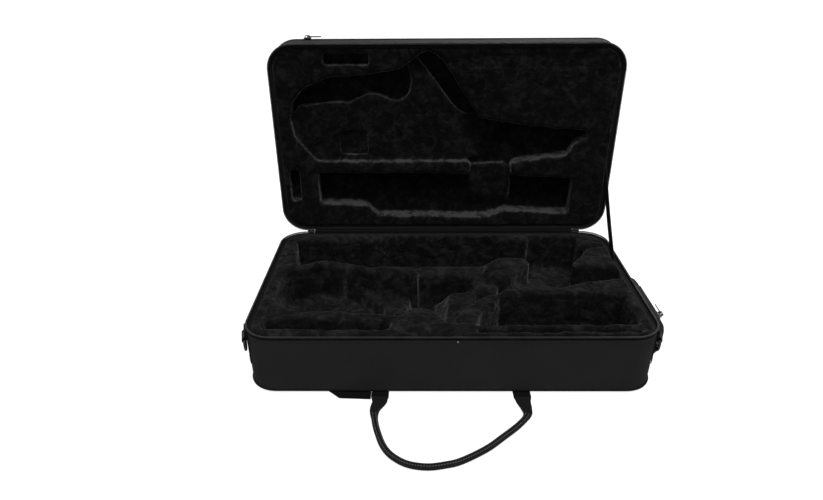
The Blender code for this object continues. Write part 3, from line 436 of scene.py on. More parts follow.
def travelled(points):
    """Distance along a line up to each of its points."""
    run = [0.0]
    for one, two in zip(points, points[1:]):
        run.append(run[-1] + (two - one).length)
    return run


def heading(path, i):
    """The way along a path at one of its points."""
    return (path[min(i + 1, len(path) - 1)] - path[max(i - 1, 0)]).normalized()


def ease(share):
    """0 to 1 with soft ends, for a share that may lie beyond them."""
    share = min(1.0, max(0.0, share))
    return share * share * (3 - 2 * share)


def skin(bm, rings, closed=False, caps=True):
    """Joins matching rings of points, with UVs in metres along and round."""
    layer = bm.loops.layers.uv.verify()
    made = [[bm.verts.new(point) for point in ring] for ring in rings]
    run = travelled([ring[0] for ring in rings + rings[:1]])
    girth = travelled(rings[0] + rings[0][:1])
    for i in range(len(made) if closed else len(made) - 1):
        one, two = made[i], made[(i + 1) % len(made)]
        for j in range(len(one)):
            k = (j + 1) % len(one)
            face = bm.faces.new((one[j], one[k], two[k], two[j]))
            for loop, (a, b) in zip(face.loops, ((i, j), (i, j + 1), (i + 1, j + 1), (i + 1, j))):
                loop[layer].uv = (run[a], girth[b])
    if caps and not closed:
        bm.faces.new(made[0])
        bm.faces.new(reversed(made[-1]))
    return bm


def circle(radius, count):
    """Points of a circle."""
    return [(radius * math.cos(math.tau * i / count), radius * math.sin(math.tau * i / count))
            for i in range(count)]


def rounded_box(low_a, high_a, low_b, high_b, edge, steps=2):
    """Section with rounded corners."""
    points = []
    for a, b, start in ((high_a - edge, high_b - edge, 0), (low_a + edge, high_b - edge, 90),
                        (low_a + edge, low_b + edge, 180), (high_a - edge, low_b + edge, 270)):
        for i in range(steps + 1):
            turn = math.radians(start + 90 * i / steps)
            points.append((a + edge * math.cos(turn), b + edge * math.sin(turn)))
    return points


def track(spacing, end_x=0.0, front_run=None):
    """Points and outward directions round the rounded plan.

    end_x leaves the back open between its two ends; front_run keeps only the front and that much
    of each side.
    """
    straight_x, straight_y = HALF_W - CORNER_R, HALF_D - CORNER_R
    places = [(Vector((-end_x, HALF_D, 0)), BACK)]

    def line_to(point, out):
        begin = places[-1][0]
        count = max(1, round((point - begin).length / spacing))
        places.extend([(begin.lerp(point, i / count), out) for i in range(1, count + 1)])

    for x, y, turn in ((-straight_x, straight_y, 90), (-straight_x, -straight_y, 180),
                       (straight_x, -straight_y, 270), (straight_x, straight_y, 0)):
        centre = Vector((x, y, 0))
        count = max(8, round(CORNER_R * math.pi / 2 / spacing))
        for i in range(count + 1):
            angle = math.radians(turn + 90 * i / count)
            out = Vector((math.cos(angle), math.sin(angle), 0))
            if i == 0:
                line_to(centre + out * CORNER_R, out)
            else:
                places.append((centre + out * CORNER_R, out))
    line_to(Vector((end_x, HALF_D, 0)), BACK)
    if end_x == 0.0:
        places.pop()
    if front_run is not None:
        places = [place for place in places if place[0].y <= front_run - straight_y + 1e-6]
    return tuple(zip(*places))


def plan_rings(plan, height, section):
    """Rings of a section of (out, up) offsets round the plan."""
    return [[Vector((point.x, point.y, height)) + out * a + UP * b for a, b in section]
            for point, out in zip(*plan)]


def at_height(points, height):
    """The same track at a height."""
    return [Vector((point.x, point.y, height)) for point in points]


def resample(points, pitch, closed=False):
    """Evenly spaced places along a line: (point, direction)."""
    line = list(points) + ([points[0]] if closed else [])
    places, carried = [], pitch / 2
    for one, two in zip(line, line[1:]):
        length = (two - one).length
        if length < 1e-9:
            continue
        along = (two - one) / length
        while carried <= length:
            places.append((one + along * carried, along))
            carried += pitch
        carried -= length
    return places


def stitch_line(bm, points, outward, closed, radius):
    """Sinks short lengths of thread along a line; outward gives the surface's direction there."""
    for point, along in resample(points, STITCH_PITCH, closed):
        out = outward(point) if callable(outward) else outward
        side = along.cross(out).normalized()
        rings = []
        for share, rise in ((-0.5, -0.9), (-0.36, 0.45), (0, 0.8), (0.36, 0.45), (0.5, -0.9)):
            centre = point + along * (share * STITCH_L) + out * (rise * radius)
            rings.append([centre + side * (a * radius) + out * (b * radius)
                          for a, b in circle(1, 5)])
        skin(bm, rings)


def sew(name, lines, body, matrix=HERE, closed=False, thread="thread", radius=THREAD_R):
    """A piece of stitches along lines of (points, outward)."""
    bm = bmesh.new()
    for points, outward in lines:
        stitch_line(bm, points, outward, closed, radius)
    finish_mesh(name, bm, thread, body, matrix)


def cross_lines(corner, along, across, out):
    """The lines of a sewn box with a cross in it."""
    a, b, c, d = corner, corner + along, corner + along + across, corner + across
    return [([one, two], out) for one, two in ((a, b), (b, c), (c, d), (d, a), (a, c), (b, d))]


def coil(points, pitch, size, shift, axes):
    """A zip's coil along a line: beads with rounded edges; axes gives the ways out and up."""
    bead = bmesh.new()
    bmesh.ops.create_cube(bead, size=1)
    bmesh.ops.scale(bead, vec=size, verts=bead.verts)
    bmesh.ops.bevel(bead, geom=bead.edges[:], offset=min(size) * 0.3, segments=1,
                    affect='EDGES', profile=0.5)
    bead.verts.index_update()
    bm = bmesh.new()
    for point, along in resample(points, pitch):
        out, up = axes(point)
        place = (Matrix.Translation(point + out * shift)
                 @ Matrix((along, out, up)).transposed().to_4x4())
        made = [bm.verts.new(place @ vert.co) for vert in bead.verts]
        for face in bead.faces:
            bm.faces.new([made[vert.index] for vert in face.verts])
    bead.free()
    return bm


def hash_noise(point, scale, seed):
    """Smooth noise at a point, about -1 to 1."""
    return noise.noise(point * scale + Vector((seed, seed * 1.7, seed * 0.6)))


def depth_inside(x, y):
    """How far a point of the plan lies inside the outline, and the way out."""
    qx, qy = abs(x) - (HALF_W - CORNER_R), abs(y) - (HALF_D - CORNER_R)
    if qx > 0 and qy > 0:
        far = math.hypot(qx, qy)
        return CORNER_R - far, math.copysign(qx / far, x), math.copysign(qy / far, y)
    if qx > qy:
        return CORNER_R - qx, math.copysign(1, x), 0.0
    return CORNER_R - qy, 0.0, math.copysign(1, y)


def plan_out(point):
    """The way out of the plan at a point on its walls."""
    _, out_x, out_y = depth_inside(point.x, point.y)
    return Vector((out_x, out_y, 0))


def plan_axes(point):
    """The ways out and up at a point on the plan's walls."""
    return plan_out(point), UP


def pour(part, bm):
    """Adds a bmesh to another one."""
    mesh = bpy.data.meshes.new("part")
    part.to_mesh(mesh)
    part.free()
    bm.from_mesh(mesh)
    bpy.data.meshes.remove(mesh)


def joined(nodes, matrix, lumps):
    """The frame's nodes as one bmesh, each swollen a little so that neighbours fuse."""
    bm = bmesh.new()
    for corners in lumps:
        part = bmesh.new()
        for x, y, z in corners:
            part.verts.new((x / 1000, y / 1000, z / 1000))
        bmesh.ops.convex_hull(part, input=part.verts)
        pour(part, bm)
    for node in nodes:
        part = bmesh.new()
        part.from_mesh(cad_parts[node].data)
        bmesh.ops.transform(part, matrix=matrix, verts=part.verts)
        bmesh.ops.remove_doubles(part, verts=part.verts, dist=1e-5)
        bmesh.ops.recalc_face_normals(part, faces=part.faces)
        part.normal_update()
        for vert in part.verts:
            vert.co += vert.normal * SWELL
            if node == "base_liner_step":
                vert.co.z = min(vert.co.z, STEP_TOP)
            if node == "lid_liner_bell_floor":
                vert.co.z = max(vert.co.z, BELL_FLOOR)
        pour(part, bm)
    return bm


def evaluated(bm, *modifiers):
    """A bmesh after the given modifiers: (type, settings)."""
    mesh = bpy.data.meshes.new("work")
    bm.to_mesh(mesh)
    bm.free()
    work = placed("work", mesh)
    for kind, settings in modifiers:
        step = work.modifiers.new(kind.lower(), kind)
        for name, value in settings.items():
            setattr(step, name, value)
    ready = work.evaluated_get(bpy.context.evaluated_depsgraph_get())
    result = bmesh.new()
    result.from_mesh(ready.to_mesh())
    ready.to_mesh_clear()
    bpy.data.objects.remove(work)
    bpy.data.meshes.remove(mesh)
    return result


def press(bm, centre, reach, corner, depth, slope):
    """Presses a rounded rectangle into a lining that faces the mouth."""
    def beyond(point):
        qx = abs(point.x - centre[0]) - reach[0] + corner
        qy = abs(point.y - centre[1]) - reach[1] + corner
        return math.hypot(max(qx, 0), max(qy, 0)) + min(max(qx, qy), 0) - corner

    near = [face for face in bm.faces if abs(face.normal.z) > LEVEL
            and abs(beyond(face.calc_center_median())) < slope + PRESS_MARGIN]
    edges = list(dict.fromkeys(edge for face in near for edge in face.edges))
    bmesh.ops.subdivide_edges(bm, edges=edges, cuts=2, use_grid_fill=True)
    bm.normal_update()
    for vert in bm.verts:
        if abs(vert.normal.z) > LEVEL:
            vert.co.z += depth * ease(0.5 - beyond(vert.co) / slope)


def lining(half, padding, seed, rounds, slack, lumps, presses=()):
    """One plush skin over the padded blocks, rounded and crushed like short pile."""
    matrix, _, inward = HALVES[half]
    blocks = sorted(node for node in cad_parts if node.startswith(f"{half}_liner_"))
    voxel = VOXEL
    bm = evaluated(joined(blocks + padding, matrix.inverted(), lumps),
                   ('REMESH', {"mode": 'VOXEL', "voxel_size": voxel}),
                   ('SMOOTH', {"factor": 0.5, "iterations": rounds}))
    bm.normal_update()
    for form in presses:
        press(bm, *form)
    for vert in bm.verts:
        co = vert.co
        crush = sum(height * hash_noise(co, scale, seed + far) for scale, far, height in CRUSHES)
        crease = sum(share * abs(hash_noise(co, scale, seed + far))
                     for scale, far, share in CREASES)
        sunk = CREASE_DEPTH * max(0.0, CREASE_SPAN - crease) / CREASE_SPAN
        co += vert.normal * (PILE_LIFT + slack * (crush - sunk))
        depth, out_x, out_y = depth_inside(co.x, co.y)
        if depth < WALL_ROOM:
            co.x -= out_x * (WALL_ROOM - depth)
            co.y -= out_y * (WALL_ROOM - depth)
        groove = GROOVE_DROP * ease((GROOVE_FROM - depth) / GROOVE_RUN)
        top = MOUTH - inward * (MOUTH_ROOM + groove)
        if (co.z - top) * inward > 0:
            co.z = top
    made = finish_mesh(f"{half}_lining", bm, f"{half}_plush", half, matrix, 180, blocks + padding)


def build_linings():
    """Plush linings of both halves."""
    lining("base", ["base_floor_pad", "base_wall_frame"], 11.0, 20, 1.0,
           [APRON, GAP_FILL, NEAR_LOBE, FAR_LOBE, KEY_SLOPE, CENTRE_SLOPE])
    lining("lid", ["lid_backing_pad", "lid_wall_frame"], 23.0, 9, 0.6, [BELL_SLOPE, NECK_PAD],
           [SQUARE, LONG_PRESS])


def crowned(profile, shares, solid):
    """Skin round the plan through (inset, height) rings, closed by smaller copies of the last."""
    rings = [[Vector((p.x, p.y, height)) - o * inset for p, o in zip(*track(PLAN_STEP))]
             for inset, height in profile]
    last = rings[-1]
    rings += [[Vector((v.x * share, v.y * share, v.z)) for v in last] for share in shares]
    bm = skin(bmesh.new(), rings, caps=False)
    ends = [edge for edge in bm.edges if edge.is_boundary
            and (solid or abs(edge.verts[0].co.z - last[0].z) < 1e-5)]
    bmesh.ops.holes_fill(bm, edges=ends, sides=0)
    return bm


def shell(half, seed):
    """A sewn cover: hem at the mouth, walls with faint slack, rounded edge, and the face."""
    matrix, face, inward = HALVES[half]
    rim = MOUTH - inward * COVER_TO_MOUTH
    rows = max(6, round(abs(rim - face) / WALL_ROW))
    profile = [(0.0, rim + (face + inward * EDGE_RISE - rim) * i / rows) for i in range(rows + 1)]
    profile += [(inset * 0.001, face + inward * rise * 0.001) for inset, rise in COVER_EDGE]
    bm = crowned(profile, COVER_SHARES, False)
    bmesh.ops.recalc_face_normals(bm, faces=bm.faces)
    bm.normal_update()
    for vert in bm.verts:
        co = vert.co
        wall = min(abs(co.z - rim), abs(co.z - face)) > TAUT
        if wall or abs(co.z - face) < 1e-6:
            slack = sum(height * hash_noise(co, scale, seed) for scale, height in SLACKS)
            depth, out_x, out_y = depth_inside(co.x, co.y)
            if depth < TAUT:
                move = min(0.0, slack - 0.0002)
                co.x += out_x * move
                co.y += out_y * move
            else:
                co.z += inward * abs(slack) * 0.5
    bm = evaluated(bm, ('SOLIDIFY', {"thickness": SKIN, "offset": -1.0}))
    finish_mesh(f"{half}_cover_cloth", bm, "nylon", half, matrix, 50, [f"{half}_cover"])


def build_shells():
    """Covers, and the cord and the hem beside their rims."""
    shell("base", 1.0)
    shell("lid", 5.0)
    plan = track(PLAN_STEP)
    for half, (matrix, _, inward) in HALVES.items():
        rim = MOUTH - inward * COVER_TO_MOUTH
        # The rim cord is coloured near black: painted shade for the dark line below the zip coil.
        section = [(a - 0.0003, b) for a, b in circle(RIM_CORD_R, 10)]
        rings = plan_rings(plan, rim + inward * RIM_CORD_UP, section)
        finish_mesh(f"{half}_rim_piping", skin(bmesh.new(), rings, closed=True), "rim", half,
                    matrix)
        points = at_height(plan[0], rim - inward * HEM_DROP)
        line = [point + out * 0.00005 for point, out in zip(points, plan[1])]
        sew(f"{half}_hem_stitches", [(line, plan_out)], half, matrix, closed=True)


def build_piping():
    """Round piping along the bottom edge and round the outer pocket."""
    for name, node, half, inset, height in (
            ("bottom_piping", "base_bottom_piping", "base", 0.0, PIPING_UP),
            ("pocket_piping", "lid_pocket_piping", "lid", 0.0015, POCKET_HIGH - PIPING_UP)):
        section = [(a + 0.00017 - inset, b) for a, b in circle(PIPING_R, 12)]
        rings = plan_rings(track(PLAN_STEP), height, section)
        finish_mesh(name, skin(bmesh.new(), rings, closed=True), "piping", half, HALVES[half][0],
                    replaces=[node])


def build_zips():
    """Main zip: on each half a woven tape and a coil, from the hinge round to the hinge."""
    plan, whole = track(ZIP_STEP, ZIP_END_X), track(PLAN_STEP)
    for half, (matrix, _, inward) in HALVES.items():
        low, high = sorted(-inward * drop for drop in TAPE_DROPS)
        rings = plan_rings(plan, MOUTH, rounded_box(-0.0019, -0.0010, low, high, 0.0003))
        finish_mesh(f"{half}_zip_tape_woven", skin(bmesh.new(), rings), "tape", half, matrix,
                    replaces=[f"{half}_zip_tape"])
        middle = MOUTH - inward * COIL_DROP
        bm = coil(at_height(plan[0], middle), 0.0023, (0.0015, 0.0030, 0.0027), -0.0005, plan_axes)
        skin(bm, plan_rings(plan, middle, rounded_box(-0.0017, -0.0007, -0.0009, 0.0009, 0.0003)))
        finish_mesh(f"{half}_zip_teeth", bm, "coil", half, matrix, replaces=[f"{half}_zip_coil"])
        # The inner tape is a dark band in the rim groove: painted shade there.
        rings = plan_rings(whole, MOUTH, [(a, inward * b) for a, b in INNER_TAPE_SHADE])
        finish_mesh(f"{half}_inner_tape_painted_shade", skin(bmesh.new(), rings, closed=True), "tape", half,
                    matrix)


def dress(node, ending, finish, body, width):
    """The frame's own piece with its edges rounded."""
    bm = bmesh.new()
    bm.from_mesh(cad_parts[node].data)
    bmesh.ops.remove_doubles(bm, verts=bm.verts, dist=1e-5)
    bmesh.ops.dissolve_limit(bm, angle_limit=math.radians(1), verts=bm.verts, edges=bm.edges)
    bm.normal_update()
    edges = [edge for edge in bm.edges if len(edge.link_faces) == 2
             and edge.calc_face_angle(0) > math.radians(28)]
    bmesh.ops.bevel(bm, geom=edges, offset=width, segments=2, profile=0.5, affect='EDGES',
                    clamp_overlap=True)
    finish_mesh(f"{node}_{ending}", bm, finish, body, sharp=35, replaces=[node])


def build_hardware():
    """Sliders, pulls, rings and the rivet."""
    for node in ("main_slider_left", "main_slider_right", "main_pull_left", "main_pull_right",
                 "pocket_slider", "pocket_pull", "pouch_slider", "pouch_pull"):
        dress(node, "cast", "lacquer", node, 0.00035)
    for side, word in SIDES:
        build_ring(side, word)
    low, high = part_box("front_rivet")
    centre = (low + high) / 2
    rings = [[Vector((centre.x + a, high.y - out, centre.z + b)) for a, b in circle(radius, 20)]
             for radius, out in ((0.00205, 0.0), (0.00205, 0.0003), (0.0018, 0.0008),
                                 (0.0012, 0.0012), (0.0005, 0.00135))]
    finish_mesh("rivet_dome", skin(bmesh.new(), rings), "steel", "base", replaces=["front_rivet"])


def front_corner(side, turn, off=0.0):
    """A place off a front corner's curve, turned from the side wall, and the way out there."""
    out = Vector((side * math.cos(turn), -math.sin(turn), 0))
    centre = Vector((side * (HALF_W - CORNER_R), -(HALF_D - CORNER_R), 0))
    return centre + out * (CORNER_R + off), out


def ring_place(side):
    """Where a ring hangs: the point on the wall, the way out and the way along."""
    wall, out = front_corner(side, TAB_HALF_W / CORNER_R)
    return wall, out, out.cross(UP)


def build_ring(side, word):
    """A cast ring: straight bar in the webbing's fold, rounded bow below."""
    wall, out, along = ring_place(side)
    bar = wall + out * RING_BAR_OUT + UP * RING_BAR_Z
    half, knee = TAB_HALF_W + 0.0006 + RING_WIRE, -RING_DROP / 3
    path = [(-half + 0.0008, 0.0), (-half, -0.0015), (-half, knee)]
    for i in range(1, 24):
        angle = math.pi + math.pi * i / 24
        path.append((half * math.cos(angle), knee + (RING_DROP * 2 / 3) * math.sin(angle)))
    path += [(half, knee), (half, -0.0015), (half - 0.0008, 0.0)]
    path += [(half * share, 0.0) for share in (0.6, 0.2, -0.2, -0.6)]
    points = [bar + along * a + UP * b for a, b in path]
    rings = []
    for i, point in enumerate(points):
        ahead = (points[(i + 1) % len(points)] - points[i - 1]).normalized()
        across = ahead.cross(out).normalized()
        rings.append([point + across * a + out * b for a, b in circle(RING_WIRE, 14)])
    finish_mesh(f"ring_{word}_cast", skin(bmesh.new(), rings, closed=True), "lacquer",
                f"ring_{word}", sharp=60, replaces=[f"d_ring_{word}"])


def build_ring_tabs():
    """Webbing folded round each ring's bar, over a sewn patch that follows the corner."""
    wrap = RING_WIRE + 0.0005 + TAB_T / 2
    back, front = RING_BAR_OUT - wrap, RING_BAR_OUT + wrap
    sweep = 2 * TAB_HALF_W / CORNER_R
    patch = rounded_box(0.0003, 0.0003 + TAB_T, TAB_TOP - TAB_PATCH_H, TAB_TOP, 0.0003, 1)
    fold = rounded_box(-TAB_T / 2, TAB_T / 2, -TAB_HALF_W, TAB_HALF_W, 0.0004, 1)
    path = [Vector((back, TAB_TOP))]
    path += [Vector((RING_BAR_OUT + wrap * math.cos(math.pi + math.pi * i / 16),
                     RING_BAR_Z + wrap * math.sin(math.pi + math.pi * i / 16)))
             for i in range(17)]
    path += [Vector((front - 0.0004, RING_BAR_Z + 0.003)),
             Vector((back + 0.0034, RING_BAR_Z + 0.0065)),
             Vector((back + 0.0019, RING_BAR_Z + 0.0095)),
             Vector((back + 0.0015, RING_BAR_Z + 0.014)), Vector((back + 0.0015, TAB_TOP))]
    for side, word in SIDES:
        wall, out, along = ring_place(side)
        bm = skin(bmesh.new(), [[front_corner(side, sweep * i / 10, a)[0] + UP * b
                                 for a, b in patch] for i in range(11)])
        rings = []
        for i, point in enumerate(path):
            ahead = heading(path, i)
            across = Vector((ahead.y, -ahead.x))
            places = [(point + across * a, b) for a, b in fold]
            rings.append([wall + out * place.x + UP * place.y + along * b for place, b in places])
        skin(bm, rings)
        finish_mesh(f"ring_tab_{word}_woven", bm, "webbing", "base",
                    replaces=[f"ring_tab_{word}"])
        corner = (wall + out * (back + 0.0015 + TAB_T / 2) + along * -0.010
                  + UP * (TAB_TOP - 0.0092))
        lines = cross_lines(corner, along * 0.020, UP * 0.0078, out)
        for drop in (0.0615, 0.0575):
            lines.append(([front_corner(side, sweep * (0.08 + 0.84 * i / 12), 0.0015)[0]
                           + UP * (TAB_TOP - drop) for i in range(13)], plan_out))
        sew(f"ring_tab_{word}_stitches", lines, "base")


def curve_through(points, steps):
    """A smooth curve through the points."""
    padded = [points[0]] + list(points) + [points[-1]]
    curve = []
    for i in range(len(points) - 1):
        a, b, c, d = (Vector(point) for point in padded[i:i + 4])
        for step in range(steps):
            t = step / steps
            curve.append(0.5 * (2 * b + (c - a) * t + (2 * a - 5 * b + 4 * c - d) * t ** 2
                                + (3 * b - a - 3 * c + d) * t ** 3))
    curve.append(Vector(points[-1]))
    return curve


def build_handle(node, matrix, root_t):
    """A carry handle: webbing that lies flat at its roots and is folded and sewn into a roll."""
    path = curve_through([(x * HANDLE_HALF, -HANDLE_START - y * HANDLE_REACH)
                          for x, y in HANDLE_SHARES], 6)
    run = travelled(path)
    rings, seams = [], ([], [])
    for i, point in enumerate(path):
        ahead = heading(path, i)
        across = Vector((ahead.y, -ahead.x, 0))
        to_end = min(run[i], run[-1] - run[i])
        t = ease(to_end / GATHER_RUN)
        narrow = min(to_end / NARROW_RUN, 1) ** 0.8
        lift = -HANDLE_PLAY - root_t / 2 + (TUBE_R - root_t / 2) * t
        ring = []
        for j in range(28):
            turn = math.tau * j / 28
            notch = math.exp(-((math.degrees(turn) - 90) / 13) ** 2)
            round_a = TUBE_R * math.cos(turn) * 0.98
            round_b = TUBE_R * math.sin(turn) * (0.92 - 0.40 * notch)
            flat_a = WEB_HALF * max(-1, min(1, 1.25 * math.cos(turn)))
            flat_b = root_t / 2 * max(-1, min(1, 2.2 * math.sin(turn)))
            ring.append(Vector((point.x, point.y, lift + flat_b + (round_b - flat_b) * t))
                        + across * (flat_a + (round_a - flat_a) * narrow))
        rings.append(ring)
        if t > 0.96:
            for seam_painted_sheen, turn in zip(seams, (math.radians(62), math.radians(118))):
                seam_painted_sheen.append(Vector((point.x, point.y, lift + TUBE_R * 0.90 * math.sin(turn)))
                            + across * (TUBE_R * 0.98 * math.cos(turn)))
    finish_mesh(f"{node}_roll", skin(bmesh.new(), rings), "webbing", node, matrix, 60, [node])
    # The roll's seams are real stitches in pale thread, whose paleness is a painted sheen along the
    # handle.
    sew(f"{node}_roll_stitches", [(seam_painted_sheen, UP) for seam_painted_sheen in seams], node, matrix, thread="seam_painted_sheen",
        radius=SEAM_THREAD_R)


def build_handles():
    """Both carry handles and the webbing that holds them."""
    low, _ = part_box("carry_webbing_left")
    build_handle("base_handle", Matrix.Translation((0, low.y - HANDLE_PLAY, 0.0)), 0.0024)
    low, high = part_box("lid_handle_patch_left")
    axis = (Matrix.Translation((0, high.y + HANDLE_PLAY, low.z - HANDLE_PLAY))
            @ Matrix.Rotation(math.radians(-90), 4, 'X') @ Matrix.Rotation(math.pi, 4, 'Z'))
    build_handle("lid_handle", axis, 0.0016)
    for word in ("left", "right"):
        dress(f"carry_webbing_{word}", "woven", "strap", "base", 0.0006)
        patch = f"lid_handle_patch_{word}"
        low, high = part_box(patch)
        dress(patch, "woven", "strap", "lid", 0.0004)
        lines = cross_lines(Vector((low.x + 0.003, high.y, low.z + 0.003)),
                            Vector((high.x - low.x - 0.006, 0, 0)),
                            Vector((0, 0, high.z - low.z - 0.006)), BACK)
        sew(f"{patch}_stitches", lines, "lid")
    dress("webbing_tail", "woven", "strap", "base", 0.0005)


def build_pocket():
    """The lid's outer pocket: a crowned panel sewn to its piping, with a fine zip below it."""
    low, high = POCKET_LOW, POCKET_HIGH
    bm = crowned([(0.0030, low), (0.0022, low + 0.0008), (0.0018, low + 0.0028),
                  (0.0018, high - 0.0052), (0.0024, high - 0.0034), (0.0042, high - 0.0018),
                  (0.0066, high - 0.0006), (0.0100, high - 0.0001), (0.0150, high)],
                 POCKET_SHARES, True)
    for vert in bm.verts:
        if vert.co.z > high - 1e-6:
            edge = min(1.0, depth_inside(vert.co.x, vert.co.y)[0] / 0.05)
            vert.co.z -= (0.0011 * (1 - edge) * 0.4
                          + (0.0004 + 0.0010 * abs(hash_noise(vert.co, 7, 2))) * edge)
    finish_mesh("lid_pocket_cloth", bm, "nylon", "lid", OPENED, 50, ["lid_pocket_panel"])
    points, outs = track(PLAN_STEP)
    points = at_height(points, high - 0.0004)
    line = [point - out * POCKET_SEAM_IN for point, out in zip(points, outs)]
    sew("lid_pocket_stitches", [(line, UP)], "lid", OPENED, closed=True)

    plan = track(ZIP_STEP, front_run=POCKET_ZIP_RUN)
    middle = low + POCKET_ZIP_UP
    rings = plan_rings(plan, middle, rounded_box(-0.0010, 0.0001, -0.0018, 0.0018, 0.0003))
    finish_mesh("lid_pocket_zip_tape", skin(bmesh.new(), rings), "webbing", "lid", OPENED)
    bm = coil(at_height(plan[0], middle), FINE_PITCH, (0.0011, 0.0009, 0.0024), FINE_OUT, plan_axes)
    finish_mesh("lid_pocket_zip_teeth", bm, "coil", "lid", OPENED, replaces=["lid_pocket_zip"])


def build_pouch():
    """The side pouch, full at its middle and drawn in to its sewn ends."""
    low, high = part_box("side_pouch")
    size = high - low
    outline = curve_through(POUCH_SECTION, 3)
    rings = []
    for i in range(45):
        share = i / 44
        full = 0.20 + 0.80 * (1 - (1 - min(1, min(share, 1 - share) / 0.13)) ** 2.6)
        droop = 1 - (1 - full) * 0.10
        ring = []
        for a, b in outline:
            crease = hash_noise(Vector((a, share * 5, b)), 3.1, 4) * 0.0012 * full * (a > 0.5)
            ring.append(Vector((low.x + max(0.0, a * full * size.x - abs(crease)),
                                low.y + share * size.y,
                                low.z + size.z * (0.5 + (b - 0.5) * droop))))
        rings.append(ring)
    finish_mesh("side_pouch_cloth", skin(bmesh.new(), rings), "nylon", "base", sharp=60,
                replaces=["side_pouch"])
    sew("side_pouch_stitches", [([ring[index] for ring in rings],
                                 Vector((0.8, 0, rise)).normalized())
                                for index, rise in POUCH_SEAMS], "base")
    low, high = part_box("side_pouch_zip")
    out, up = Vector((0.8321, 0, 0.5547)), Vector((-0.5547, 0, 0.8321))
    middle = (low + high) / 2
    ends = [Vector((middle.x, y, middle.z)) for y in (low.y, high.y)]
    section = rounded_box(-0.0009, 0.0001, -0.0025, 0.0025, 0.0003)
    rings = [[ends[0].lerp(ends[1], i / 40) + out * a + up * b for a, b in section]
             for i in range(41)]
    finish_mesh("side_pouch_zip_tape", skin(bmesh.new(), rings), "webbing", "base")
    bm = coil(ends, FINE_PITCH, (0.0011, 0.0008, 0.0028), FINE_OUT, lambda point: (out, up))
    finish_mesh("side_pouch_zip_teeth", bm, "coil", "base", replaces=["side_pouch_zip"])


def build_hinge():
    """The fabric strip along the back, sewn to both covers."""
    wall, bend = HALF_D + 0.0004, HINGE_Y + 0.0003
    ceiling = MOUTH + HINGE_Y - HALF_D - 0.0004
    path = [Vector((0, wall, MOUTH - 0.0238 + 0.0232 * i / 8)) for i in range(9)]
    path += [Vector((0, wall + 0.00025, MOUTH + 0.0004)), Vector((0, wall + 0.0008, ceiling))]
    path += [Vector((0, bend + 0.0012 + 0.0205 * i / 8, ceiling)) for i in range(9)]
    rings = []
    for i in range(121):
        x = -HINGE_HALF_W + 2 * HINGE_HALF_W * i / 120
        outer, inner = [], []
        for j, point in enumerate(path):
            ahead = heading(path, j)
            pucker = 0.00012 * math.sin(x * 900 + j)
            inner.append(Vector((x, point.y, point.z)))
            outer.append(inner[-1] + Vector((0, ahead.z, -ahead.y)) * (HINGE_T + pucker))
        rings.append(inner + outer[::-1])
    # The strip's cloth is coloured near black as painted shade.
    made = finish_mesh("hinge_cloth", skin(bmesh.new(), rings), "hinge", None, sharp=60,
                       replaces=["hinge_strip"])
    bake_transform(made)
    y, z = wall + HINGE_T + 0.0001, ceiling - HINGE_T - 0.0001
    for half, out, places in (
            ("base", BACK, [(y, MOUTH - 0.0215), (y, MOUTH - 0.0180)]),
            ("lid", -UP, [(HINGE_Y + 0.0165, z), (HINGE_Y + 0.0195, z)])):
        reach = HINGE_HALF_W - HINGE_SEAM_IN
        sew(f"hinge_stitches_{half}",
            [([Vector((-reach, *place)), Vector((reach, *place))], out) for place in places], half)


def build_stay():
    """The strap at the right that stops the lid."""
    low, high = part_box("stay_strap")
    foot = Vector((0, HINGE_Y - STAY_BACK, low.z))
    head = Vector((0, high.y, MOUTH + STAY_RISE))
    along = (head - foot).normalized()
    foot_half = Vector((0, STAY_HALF / along.z, 0))
    head_half = Vector((0, 0, STAY_HALF / along.y))
    rings = []
    for i in range(61):
        one = (foot - foot_half).lerp(head + head_half, i / 60)
        two = (foot + foot_half).lerp(head - head_half, i / 60)
        sway = Vector((-STAY_SWAY * math.sin(math.pi * i / 60), 0, 0))
        rings.append([start.lerp(end, a / 8) + sway + Vector((x, 0, 0))
                      for start, end, x in ((one, two, low.x), (two, one, high.x))
                      for a in range(9)])
    made = finish_mesh("stay_strap_woven", skin(bmesh.new(), rings), "webbing", None, sharp=60,
                       replaces=["stay_strap"])
    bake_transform(made)


def paint_boards():
    """Boards inside the covers keep their shapes."""
    for node in ("base_floor_board", "lid_outer_board"):
        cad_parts[node].data.materials.clear()
        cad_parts[node].data.materials.append(fibreboard())


def white_to_camera(tree, lit, seen):
    """One grey where it lights the case, another where it is seen directly or mirrored."""
    ray = add_node(tree, "ShaderNodeLightPath", {})
    direct, mirrored, through = (Wire(tree, ray.outputs[name]) for name in
                                 ("Is Camera Ray", "Is Glossy Ray", "Is Transmission Ray"))
    share = direct.math('MAXIMUM', mirrored).math('MAXIMUM', through)
    mix = add_node(tree, "ShaderNodeMix", {"Factor": share, "A": (lit, lit, lit, 1),
                                           "B": (seen, seen, seen, 1)}, data_type='RGBA')
    return Wire(tree, mix.outputs["Result"])


